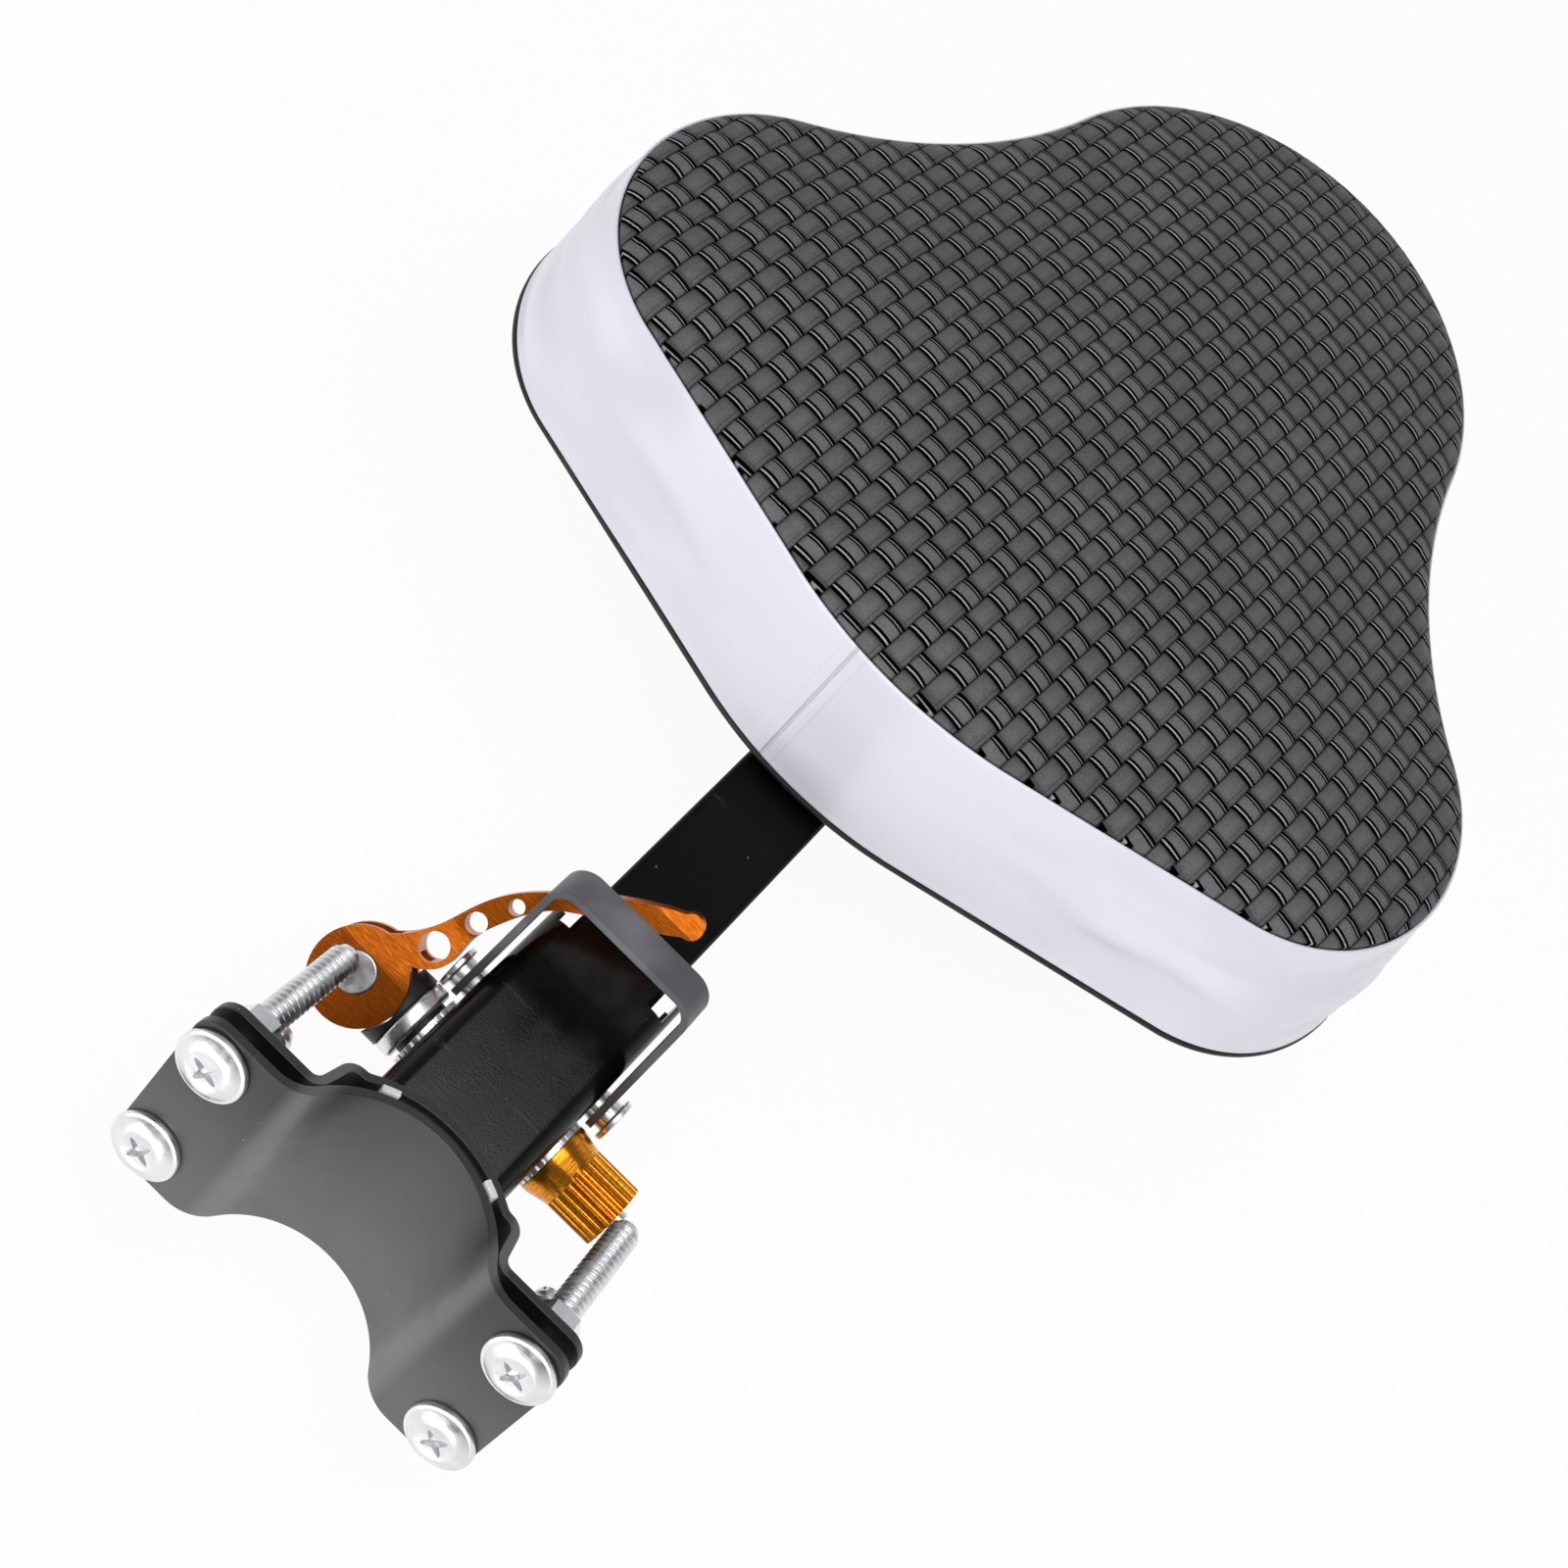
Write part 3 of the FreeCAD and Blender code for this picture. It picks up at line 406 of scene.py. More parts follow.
@dataclass(frozen=True)
class PaintFinish:
    """Coat on steel with a fine peel, dirt specks, rubbed patches and scuffs.

    Where these are given, its lower part is painted lighter in cloudy patches as painted reflected light, and
    its folds at +X and -X are painted lighter as a painted highlight.
    """

    name: str
    colour: Colour
    roughness: float = 0.38
    gloss: float = 0.4
    index: float = 1.5
    rub: float = 2.2
    rubbing: Mottle = Mottle(45.0, 4.0, 0.42, 0.75)
    # These five fields paint light: a lighter colour low on the coat, in cloudy patches, is painted reflected
    # light.
    low_light_paint: Colour | None = None
    low_light_full_below: float = -0.02
    low_light_gone_above: float = 0.02
    low_light_patches: Mottle = Mottle(30.0, 3.0, 0.2, 0.8)
    low_light_least: float = 0.7
    # The fold fields paint a highlight: a lighter colour along the folds stands for light caught on the bend.
    fold: float | None = None
    painted_fold_highlight: Colour = (0.2, 0.2, 0.205)
    fold_reach: Range = (0.004, 0.0005)
    painted_fold_share: float = 0.5
    speck: Colour = (0.22, 0.22, 0.23)
    speck_scale: float = 260.0
    speck_size: Range = (0.07, 0.035)
    speck_patches: Mottle = Mottle(60.0, 1.0, 0.5, 0.62)
    speck_depth: float = 0.0001
    speck_strength: float = 0.5
    scuff: Colour = (0.2, 0.2, 0.21)
    scuffs: Mottle = Mottle(30.0, 6.0, 0.66, 0.74, (1.0, 9.0, 22.0))
    scuff_share: float = 0.1
    haze: Mottle = Mottle(160.0, 5.0, 0.25, 0.8)
    clearest: float = -0.05
    haziest: float = 0.09
    peel: Grit = Grit(1800.0, 2.0, 0.00006, 0.35)

    def tone(self, sheet: ShaderSheet, specks: bpy.types.NodeSocket) -> bpy.types.NodeSocket:
        """Lays out the colour.

        Args:
            sheet: the material's sheet.
            specks: where specks lie.

        Returns:
            The colour.
        """
        rubbed = tuple(self.rub * part for part in self.colour)
        tone = sheet.blend(sheet.mottled(self.rubbing), self.colour, rubbed)
        # Painted reflected light: below the middle the coat is painted lighter, in cloudy patches.
        if self.low_light_paint is not None:
            low = sheet.step(sheet.axis("Z"), self.low_light_full_below, self.low_light_gone_above, 1.0, 0.0)
            low_light_patches = sheet.mottled(self.low_light_patches, self.low_light_least)
            tone = sheet.blend(sheet.times(low, low_light_patches), tone, self.low_light_paint)
        # Painted highlight: the folds at +X and -X are painted lighter, standing for light caught on the
        # bend.
        if self.fold is not None:
            off = sheet.apart(sheet.calc("ABSOLUTE", sheet.axis("X")), self.fold)
            wear_and_highlight = sheet.times(sheet.step(off, *self.fold_reach), self.painted_fold_share)
            tone = sheet.blend(wear_and_highlight, tone, self.painted_fold_highlight)
        tone = sheet.blend(specks, tone, self.speck)
        return sheet.blend(sheet.times(sheet.mottled(self.scuffs), self.scuff_share), tone, self.scuff)

    def material(self) -> bpy.types.Material:
        """Lays out the paint.

        Returns:
            The material.
        """
        sheet = ShaderSheet(self.name)
        specks = sheet.step(sheet.cells(self.speck_scale), *self.speck_size)
        specks = sheet.times(specks, sheet.mottled(self.speck_patches))
        rough = sheet.mottled(self.haze, self.roughness + self.clearest, self.roughness + self.haziest)
        normal = sheet.relief(specks, self.speck_depth, self.speck_strength, sheet.gritty(self.peel))
        sheet.surface(Base_Color=self.tone(sheet, specks), Roughness=rough, Specular_IOR_Level=self.gloss,
                      IOR=self.index, Normal=normal)
        return sheet.material


@dataclass(frozen=True)
class ZincFinish:
    """Bright zinc plate with a faint milky bloom and fine scratches."""

    name: str
    colour: Colour
    roughness: float = 0.3
    dull: float = 0.84
    bloom: Mottle = Mottle(140.0, 4.0, 0.35, 0.7)
    haze: Mottle = Mottle(420.0, 4.0, 0.3, 0.75)
    clearest: float = -0.07
    haziest: float = 0.16
    scratches: Grit = Grit(300.0, 6.0, 0.00008, 0.3, (1.0, 12.0, 5.0))

    def material(self) -> bpy.types.Material:
        """Lays out the plating.

        Returns:
            The material.
        """
        sheet = ShaderSheet(self.name)
        dull = tuple(self.dull * part for part in self.colour)
        tone = sheet.blend(sheet.mottled(self.bloom), self.colour, dull)
        rough = sheet.mottled(self.haze, self.roughness + self.clearest, self.roughness + self.haziest)
        sheet.surface(Base_Color=tone, Metallic=1.0, Roughness=rough, Normal=sheet.gritty(self.scratches))
        return sheet.material


@dataclass(frozen=True)
class AnodisedFinish:
    """Dyed anodised aluminium, brushed in one direction."""

    name: str
    colour: Colour
    grain: Grain
    roughness: float = 0.3
    line_scale: float = 420.0
    line_detail: float = 6.0
    line_depth: float = 0.00012
    line_strength: float = 0.35
    line_dip: float = 0.1
    line_shine: float = -0.06
    deep: float = 0.45
    deep_range: Range = (0.3, 0.7)
    shine_range: Range = (0.25, 0.75)

    def material(self) -> bpy.types.Material:
        """Lays out the anodising.

        Returns:
            The material.
        """
        sheet = ShaderSheet(self.name)
        lines = sheet.cloud(self.line_scale, self.line_detail, self.grain.value)
        deep = tuple(self.deep * part for part in self.colour)
        tone = sheet.blend(sheet.step(lines, *self.deep_range), deep, self.colour)
        dip, shine = self.roughness + self.line_dip, self.roughness + self.line_shine
        rough = sheet.step(lines, *self.shine_range, dip, shine)
        normal = sheet.relief(lines, self.line_depth, self.line_strength)
        sheet.surface(Base_Color=tone, Metallic=1.0, Roughness=rough, Normal=normal)
        return sheet.material


@dataclass(frozen=True)
class MouldedFinish:
    """Moulded rubber or plastic with a fine matt grain."""

    name: str
    colour: Colour
    roughness: float
    gloss: float = 0.35
    # In a moulding this lighter tone is only its real wear.
    wear_and_highlight: float = 1.9
    bloom: float = 0.003
    wear: Mottle = Mottle(120.0, 5.0, 0.4, 0.8)
    haze: Mottle = Mottle(300.0, 3.0, 0.3, 0.7)
    clearest: float = -0.08
    haziest: float = 0.06
    grain: Grit = Grit(2600.0, 3.0, 0.00008, 0.4)

    def material(self) -> bpy.types.Material:
        """Lays out the moulding.

        Returns:
            The material.
        """
        sheet = ShaderSheet(self.name)
        wear_and_highlight = tuple(self.wear_and_highlight * part + self.bloom for part in self.colour)
        tone = sheet.blend(sheet.mottled(self.wear), self.colour, wear_and_highlight)
        rough = sheet.mottled(self.haze, self.roughness + self.clearest, self.roughness + self.haziest)
        sheet.surface(Base_Color=tone, Roughness=rough, Specular_IOR_Level=self.gloss,
                      Normal=sheet.gritty(self.grain))
        return sheet.material


@dataclass(frozen=True)
class PlywoodFinish:
    """Bare birch plywood with long pale and dark grain."""

    name: str
    colour: Colour
    roughness: float = 0.62
    dark: float = 0.6
    fibre_scale: float = 90.0
    fibre_detail: float = 6.0
    fibre_stretch: Stretch = (6.0, 0.5, 4.0)
    fibre_depth: float = 0.0002
    fibre_strength: float = 0.4
    fibre_range: Range = (0.35, 0.65)
    plies_per_metre: float = 430.0
    ply_range: Range = (0.45, 0.55)
    ply_share: float = 0.3

    def material(self) -> bpy.types.Material:
        """Lays out the wood.

        Returns:
            The material.
        """
        sheet = ShaderSheet(self.name)
        fibre = sheet.cloud(self.fibre_scale, self.fibre_detail, self.fibre_stretch)
        plies = sheet.calc("FRACT", sheet.times(sheet.axis("Z"), self.plies_per_metre))
        dark = tuple(self.dark * part for part in self.colour)
        tone = sheet.blend(sheet.step(fibre, *self.fibre_range), self.colour, dark)
        tone = sheet.blend(sheet.times(sheet.step(plies, *self.ply_range), self.ply_share), tone, dark)
        normal = sheet.relief(fibre, self.fibre_depth, self.fibre_strength)
        sheet.surface(Base_Color=tone, Roughness=self.roughness, Normal=normal)
        return sheet.material


@dataclass(frozen=True)
class FoamFinish:
    """Open-cell foam, its pores painted darker as painted shade in their pits."""

    name: str
    colour: Colour
    roughness: float = 0.9
    dark: float = 0.55
    pores_per_metre: float = 900.0
    pore_depth: float = 0.0006
    pore_strength: float = 0.6
    pore_range: Range = (0.1, 0.5)

    def material(self) -> bpy.types.Material:
        """Lays out the foam.

        Returns:
            The material.
        """
        sheet = ShaderSheet(self.name)
        pores = sheet.cells(self.pores_per_metre)
        dark = tuple(self.dark * part for part in self.colour)
        # Painted shade: the pores' pits are painted darker.
        tone = sheet.blend(sheet.step(pores, *self.pore_range), dark, self.colour)
        normal = sheet.relief(pores, self.pore_depth, self.pore_strength)
        sheet.surface(Base_Color=tone, Roughness=self.roughness, Normal=normal)
        return sheet.material


@dataclass(frozen=True)
class VinylFinish:
    """Pale glossy coated fabric with soft folds and one sewn joint down the near side, its folds painted
    greyer as painted shade in the creases.
    """

    name: str
    colour: Colour
    gloss: float = 0.5
    coat: float = 0.25
    coat_roughness: float = 0.2
    shade: Colour = (0.95, 0.95, 0.97)
    shading: Mottle = Mottle(12.0, 2.0, 0.35, 0.75)
    joint_across: float = -0.0097
    joint_reach: float = 0.17
    joint_fade: float = 0.004
    joint_groove: Range = (0.0006, 0.0001)
    joint_lip: Range = (0.0034, 0.0026)
    lip_height: float = 0.5
    joint_tone: Colour = (0.42, 0.41, 0.47)
    joint_share: float = 0.4
    joint_depth: float = 0.0004
    joint_strength: float = 0.8
    fold_scale: float = 11.0
    fold_detail: float = 2.0
    fold_stretch: Stretch = (1.0, 1.0, 1.8)
    fold_middle: float = 0.5
    fold_width: float = 0.13
    fold_start: Range = (0.02, 0.07)
    # The creases round the lobes are painted greyer and bluer as painted shade.
    painted_fold_shade: Colour = (0.68, 0.68, 0.78)
    painted_fold_share: float = 0.7
    fold_depth: float = 0.0024
    fold_strength: float = 0.6
    drift_depth: float = 0.005
    drift_strength: float = 0.4
    haze: Mottle = Mottle(20.0, 2.0, 0.3, 0.75)
    clearest: float = 0.28
    haziest: float = 0.34
    grain: Grit = Grit(1500.0, 2.0, 0.00003, 0.2)

    def material(self) -> bpy.types.Material:
        """Lays out the coated fabric.

        Returns:
            The material.
        """
        sheet = ShaderSheet(self.name)
        across = sheet.axis("X")
        near = sheet.step(sheet.axis("Y"), self.joint_reach, self.joint_reach - self.joint_fade)
        off = sheet.apart(across, self.joint_across)
        groove = sheet.times(sheet.step(off, *self.joint_groove), near)
        lip = sheet.times(sheet.step(off, *self.joint_lip), near)
        drift = sheet.cloud(self.fold_scale, self.fold_detail, self.fold_stretch)
        fold = sheet.step(sheet.apart(drift, self.fold_middle), 0.0, self.fold_width, 1.0, 0.0)
        fold = sheet.times(fold, sheet.step(sheet.calc("ABSOLUTE", across), *self.fold_start))
        shade = tuple(part * dim for part, dim in zip(self.colour, self.shade))
        tone = sheet.blend(sheet.mottled(self.shading), self.colour, shade)
        # Painted shade: the creases round the lobes are painted greyer and bluer.
        tone = sheet.blend(sheet.times(fold, self.painted_fold_share), tone, self.painted_fold_shade)
        tone = sheet.blend(sheet.times(groove, self.joint_share), tone, self.joint_tone)
        normal = sheet.relief(drift, self.drift_depth, self.drift_strength)
        level = sheet.calc("SUBTRACT", 1.0, fold)
        normal = sheet.relief(level, self.fold_depth, self.fold_strength, normal)
        normal = sheet.gritty(self.grain, normal)
        joint = sheet.calc("SUBTRACT", sheet.times(lip, self.lip_height), groove)
        normal = sheet.relief(joint, self.joint_depth, self.joint_strength, normal)
        rough = sheet.mottled(self.haze, self.clearest, self.haziest)
        sheet.surface(Base_Color=tone, Roughness=rough, Specular_IOR_Level=self.gloss, Coat_Weight=self.coat,
                      Coat_Roughness=self.coat_roughness, Normal=normal)
        return sheet.material


@dataclass(frozen=True)
class WeaveFinish:
    """Charcoal leathercloth strips in a basket weave, with edge-rolled strips across the seat.

    The ramps run over a cell: across and along a strip that runs across the seat (rolled and tucked), and
    across and along one that runs towards the nose (pillow and rounded). Their dark stops are painted shade
    in the gaps and where strips dive under, and their bright stops are painted highlights on the rolled
    edges.
    """

    name: str
    colour: Colour
    pitch_across: float
    pitch_along: float
    turn: float
    # Painted light and shade: the near-black stops are painted shade in the gaps and where strips dive under,
    # the brightest stops are painted highlights on the rolled edges.
    rolled: Stops = (
        (0.0, 0.12), (0.03, 0.06), (0.05, 0.001), (0.135, 0.001), (0.15, 0.7), (0.185, 0.7), (0.2, 0.001),
        (0.275, 0.001), (0.3, 0.23), (0.5, 0.25), (0.67, 0.22), (0.69, 0.002), (0.745, 0.002), (0.76, 0.5),
        (0.785, 0.5), (0.8, 0.001), (0.91, 0.001), (0.93, 0.09), (1.0, 0.12))
    tucked: Stops = ((0.0, 0.25), (0.04, 0.7), (0.15, 1.0))
    pillow: Stops = (
        (0.0, 0.006), (0.03, 0.04), (0.1, 0.17), (0.5, 0.22), (0.76, 0.18), (0.79, 0.07), (0.83, 0.19),
        (0.93, 0.15), (0.97, 0.05), (1.0, 0.008))
    rounded: Stops = ((0.0, 0.5), (0.08, 0.9), (0.2, 1.0))
    leather: Stops = ((0.0, 0.4), (0.6, 1.0))
    leather_scale: float = 1900.0
    leather_depth: float = 0.00012
    leather_strength: float = 0.4
    leather_share: float = 0.55
    fine_scale: float = 3400.0
    fine_detail: float = 3.0
    fine_depth: float = 0.00006
    fine_strength: float = 0.35
    fine_range: Range = (0.25, 0.75)
    roughness: Range = (0.46, 0.62)
    light: float = 1.2
    light_patches: Mottle = Mottle(35.0, 4.0, 0.3, 0.75)
    strip_depth: float = 0.0005
    strip_strength: float = 0.4
    strip_range: Range = (0.005, 0.1)
    gloss: Range = (0.01, 0.26)

    def strips(self, sheet: ShaderSheet) -> bpy.types.NodeSocket:
        """Lays out the strips' light and shade on the same cells as the woven mesh.

        Args:
            sheet: the material's sheet, with its coordinates turned as the weave is.

        Returns:
            The grey.
        """
        column = sheet.calc("DIVIDE", sheet.axis("X"), self.pitch_across)
        row = sheet.calc("DIVIDE", sheet.axis("Y"), self.pitch_along)
        cell = sheet.calc("ADD", sheet.calc("FLOOR", column), sheet.calc("FLOOR", row))
        rolled = sheet.ramp(sheet.calc("FRACT", row), self.rolled)
        tucked = sheet.ramp(sheet.calc("PINGPONG", column, 0.5), self.tucked)
        pillow = sheet.ramp(sheet.calc("FRACT", column), self.pillow)
        rounded = sheet.ramp(sheet.calc("PINGPONG", row, 0.5), self.rounded)
        across = sheet.blend(1.0, rolled, tucked, "MULTIPLY")
        along = sheet.blend(1.0, pillow, rounded, "MULTIPLY")
        return sheet.blend(sheet.calc("FLOORED_MODULO", cell, 2.0), along, across)

    def material(self) -> bpy.types.Material:
        """Lays out the weave.

        Returns:
            The material.
        """
        sheet = ShaderSheet(self.name)
        sheet.place = sheet.turned(self.turn)
        strips = self.strips(sheet)
        leather = sheet.cells(self.leather_scale)
        fine = sheet.cloud(self.fine_scale, self.fine_detail)
        light = tuple(self.light * part for part in self.colour)
        tone = sheet.blend(sheet.mottled(self.light_patches), self.colour, light)
        # The strips' painted light and shade multiply into the colour.
        tone = sheet.blend(1.0, tone, strips, "MULTIPLY")
        tone = sheet.blend(self.leather_share, tone, sheet.ramp(leather, self.leather), "MULTIPLY")
        normal = sheet.relief(strips, self.strip_depth, self.strip_strength)
        normal = sheet.relief(leather, self.leather_depth, self.leather_strength, normal)
        normal = sheet.relief(fine, self.fine_depth, self.fine_strength, normal)
        rough = sheet.step(fine, *self.fine_range, *self.roughness)
        gloss = sheet.step(strips, *self.strip_range, *self.gloss)
        sheet.surface(Base_Color=tone, Roughness=rough, Specular_IOR_Level=gloss, Normal=normal)
        return sheet.material


# Shaping helpers


def placed(mesh: bmesh.types.BMesh, name: str) -> bpy.types.Object:
    """Puts a mesh into the scene.

    Args:
        mesh: the mesh, freed here.
        name: the object's name.

    Returns:
        The object.
    """
    data = bpy.data.meshes.new(name)
    mesh.to_mesh(data)
    mesh.free()
    item = bpy.data.objects.new(name, data)
    bpy.context.scene.collection.objects.link(item)
    return item


def applied(item: bpy.types.Object) -> bpy.types.Mesh:
    """The mesh that an object's modifiers make."""
    graph = bpy.context.evaluated_depsgraph_get()
    return bpy.data.meshes.new_from_object(item.evaluated_get(graph))


def resized(mesh: bmesh.types.BMesh, factor: float) -> None:
    """Scales a mesh about the origin."""
    bmesh.ops.scale(mesh, vec=(factor, factor, factor), verts=mesh.verts)


def fresh_verts(made: dict[str, list]) -> list[bmesh.types.BMVert]:
    """The vertices among what an operator made."""
    return [item for item in made["geom"] if isinstance(item, bmesh.types.BMVert)]


def hemmed(mesh: bmesh.types.BMesh) -> list[bmesh.types.BMVert]:
    """Doubles a mesh's open edges, and gives the new vertices."""
    rim = [edge for edge in mesh.edges if edge.is_boundary]
    return fresh_verts(bmesh.ops.extrude_edge_only(mesh, edges=rim))


def drawn(mesh: bmesh.types.BMesh,
          profile: Sequence[tuple[float, float]]) -> list[bmesh.types.BMVert | bmesh.types.BMEdge]:
    """Draws an open line of (along, radius) points, and gives its vertices and edges."""
    points = [mesh.verts.new((along, radius, 0.0)) for along, radius in profile]
    return points + [mesh.edges.new(pair) for pair in zip(points, points[1:])]


def lathe(mesh: bmesh.types.BMesh, profile: Sequence[tuple[float, float]], steps: int) -> None:
    """Turns a profile about +X.

    Args:
        mesh: the mesh to add to.
        profile: (along, radius) points.
        steps: divisions round the axis.
    """
    bmesh.ops.spin(mesh, geom=drawn(mesh, profile), cent=(0, 0, 0), axis=(1, 0, 0), angle=math.tau,
                   steps=steps, use_merge=True)
    bmesh.ops.remove_doubles(mesh, verts=mesh.verts, dist=TURNED_WELD)
    bmesh.ops.recalc_face_normals(mesh, faces=mesh.faces)


def carve(mesh: bmesh.types.BMesh, cutter: bmesh.types.BMesh) -> bmesh.types.BMesh:
    """Cuts one closed mesh out of another.

    Args:
        mesh: the mesh that is cut, freed here.
        cutter: the shape to take away, freed here.

    Returns:
        What is left.
    """
    block, tool = placed(mesh, "carving"), placed(cutter, "carving")
    modifier = block.modifiers.new("cut", "BOOLEAN")
    modifier.operation = "DIFFERENCE"
    modifier.object = tool
    data = applied(block)
    result = bmesh.new()
    result.from_mesh(data)
    for spare in (block.data, tool.data, data):
        bpy.data.meshes.remove(spare)
    return result


def added(target: bmesh.types.BMesh, source: bmesh.types.BMesh, place: Matrix) -> None:
    """Adds a placed copy of a mesh to another.

    Args:
        target: the mesh that grows.
        source: the mesh that is copied.
        place: where the copy goes.
    """
    data = bpy.data.meshes.new("copy")
    source.to_mesh(data)
    data.transform(place)
    target.from_mesh(data)
    bpy.data.meshes.remove(data)


@dataclass
class Workshop:
    """Turns meshes in millimetres into finished pieces that ride on their bodies."""

    palette: dict[Look, bpy.types.Material]
    bevel_segments: int = 3
    weld: float = 1e-3
    flat: float = 0.3

    def piece(self, mesh: bmesh.types.BMesh, name: str, body: Body, look: Look, replaces: Sequence[str],
              bevel: float = 0.0, crease: Crease = Crease.MACHINED) -> bpy.types.Object:
        """Makes a piece from a mesh.

        Args:
            mesh: the mesh in millimetres, freed here.
            name: the piece's name.
            body: what it rides on.
            look: its finish.
            replaces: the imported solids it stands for.
            bevel: width of its softened edges.
            crease: which edges are sharp.

        Returns:
            The piece.
        """
        resized(mesh, MM)
        item = placed(mesh, name)
        item.data.shade_smooth()
        item.data.set_sharp_from_angle(angle=math.radians(crease.value))
        item.data.materials.append(self.palette[look])
        if bevel > 0:
            modifier = item.modifiers.new("softened edges", "BEVEL")
            modifier.width = bevel * MM
            modifier.segments = self.bevel_segments
            modifier.limit_method = "ANGLE"
            modifier.angle_limit = math.radians(crease.value)
            modifier.harden_normals = True
        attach(item, body.value)
        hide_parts(*replaces)
        LOG.info("%s: %d faces on %s", name, len(item.data.polygons), body.value)
        return item

    def softened(self, node: str, body: Body, look: Look, bevel: float,
                 crease: Crease = Crease.MACHINED) -> bpy.types.Object:
        """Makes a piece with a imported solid's own form and softened edges.

        Args:
            node: the solid.
            body: what it rides on.
            look: its finish.
            bevel: width of its softened edges.
            crease: which edges are softened.

        Returns:
            The piece.
        """
        mesh = bmesh.new()
        mesh.from_mesh(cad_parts[node].data)
        resized(mesh, 1 / MM)
        bmesh.ops.remove_doubles(mesh, verts=mesh.verts, dist=self.weld)
        bmesh.ops.dissolve_limit(mesh, angle_limit=math.radians(self.flat), verts=mesh.verts,
                                 edges=mesh.edges)
        return self.piece(mesh, node + "_finished", body, look, (node,), bevel, crease)

    def dressed(self, node: str, look: Look) -> None:
        """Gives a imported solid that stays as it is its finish.

        Args:
            node: the solid.
            look: its finish.
        """
        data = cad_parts[node].data
        data.materials.clear()
        data.materials.append(self.palette[look])
        LOG.info("%s: kept, in %s", node, look.slot)


# Clamp and arm


@dataclass
class TubeClamp:
    """Two nested folded plates with liners, four cross-recess bolts and four flange nuts.

    A bolt's flange is drawn by (height, distance inside the rim) and its dome by (height, distance
    outside the flat). A thread's flank is drawn by (share of the pitch, share of the depth).
    """

    lean: float = 25.0
    bolt_across: float = 39.0
    bolt_up: float = 14.5
    flange_face: float = 6.5
    bolt_length: float = 43.0
    shank_steps: int = 32
    crest: float = 3.4
    root: float = 2.7
    pitch: float = 1.6
    flank: Profile = ((0.0, 0.0), (0.4, 1.0), (0.6, 1.0), (1.0, 0.0))
    thread_start: float = 6.5
    thread_steps: int = 24
    thread_lead: float = 0.6
    thread_stop: float = 0.3
    thread_weld: float = 2e-3
    end_chamfer: float = 0.55
    head_steps: int = 64
    head_radius: float = 7.7
    head_height: float = 3.0
    head_flat: float = 4.4
    head_overlap: float = 0.2
    flange: Profile = ((0.0, 0.4), (0.2, 0.08), (0.5, 0.0), (1.1, 0.0), (1.4, 0.12), (1.55, 0.45),
                       (1.58, 0.8), (2.05, 1.3))
    dome: Profile = ((2.6, 1.0), (2.9, 0.4), (3.0, 0.0))
    dish_depth: float = 0.1
    dish_slope: Range = (0.4, 0.2)
    star_tip: float = 3.6
    star_waist: float = 1.3
    star_depth: float = 1.6
    star_above: float = 0.5
    star_taper: float = 0.75
    star_corner: float = 0.8
    star_spread: float = 0.19
    star_turns: tuple[float, ...] = (28.0, 18.0, 36.0, 22.0)
    plate_bevel: float = 0.45
    liner_bevel: float = 0.12
    strip_bevel: float = 0.15
    nut_bevel: float = 0.35

    def build(self, shop: Workshop) -> None:
        """Builds the clamp's pieces.

        Args:
            shop: what makes the pieces.
        """
        for node in ("front_clamp_plate", "rear_clamp_plate"):
            shop.softened(node, Body.CLAMP, Look.PLATE_PAINT, self.plate_bevel, Crease.FOLDED)
        for node in ("front_liner", "rear_liner"):
            shop.softened(node, Body.CLAMP, Look.LINER_RUBBER, self.liner_bevel)
        shop.softened("liner_strips", Body.CLAMP, Look.LINER_STRIP, self.strip_bevel)
        shop.softened("clamp_nuts", Body.CLAMP, Look.ZINC, self.nut_bevel)
        shop.piece(self.bolts(), "clamp_bolts_threaded", Body.CLAMP, Look.ZINC, ("clamp_bolts",))

    def star(self) -> bmesh.types.BMesh:
        """Draws the cross-shaped tool that sinks a head's recess.

        Returns:
            The tool, tapering towards +X.
        """
        star = bmesh.new()
        ring = bmesh.ops.create_circle(star, cap_ends=True, radius=1.0, segments=16)["verts"]
        corner = self.star_tip * self.star_corner
        reaches = (self.star_tip, corner, self.star_waist, corner)
        swings = (0.0, self.star_spread, math.tau / 8, -self.star_spread)
        for index, vert in enumerate(ring):
            reach, swing = reaches[index % 4], swings[index % 4]
            turn = math.tau / 4 * ((index + 1) // 4) + swing
            vert.co = (0.0, math.cos(turn) * reach, math.sin(turn) * reach)
        bmesh.ops.translate(star, vec=(-self.head_height - self.star_above, 0, 0), verts=star.verts)
        low = fresh_verts(bmesh.ops.extrude_face_region(star, geom=star.faces[:]))
        bmesh.ops.translate(star, vec=(self.star_depth + self.star_above, 0, 0), verts=low)
        bmesh.ops.scale(star, vec=(1.0, self.star_taper, self.star_taper), verts=low)
        bmesh.ops.recalc_face_normals(star, faces=star.faces)
        return star

    def head(self) -> bmesh.types.BMesh:
        """Turns one truss head and sinks its cross recess.

        Returns:
            The head, towards -X from its seat.
        """
        head = bmesh.new()
        dish = self.dish_depth - self.head_height
        slope_start, slope_end = self.dish_slope
        lathe(head, ((0.0, 0.0), *((-height, self.head_radius - inside) for height, inside in self.flange),
                     *((-height, self.head_flat + outside) for height, outside in self.dome),
                     (-self.head_height, self.star_tip + slope_start), (dish, self.star_tip + slope_end),
                     (dish, 0.0)), self.head_steps)
        return carve(head, self.star())

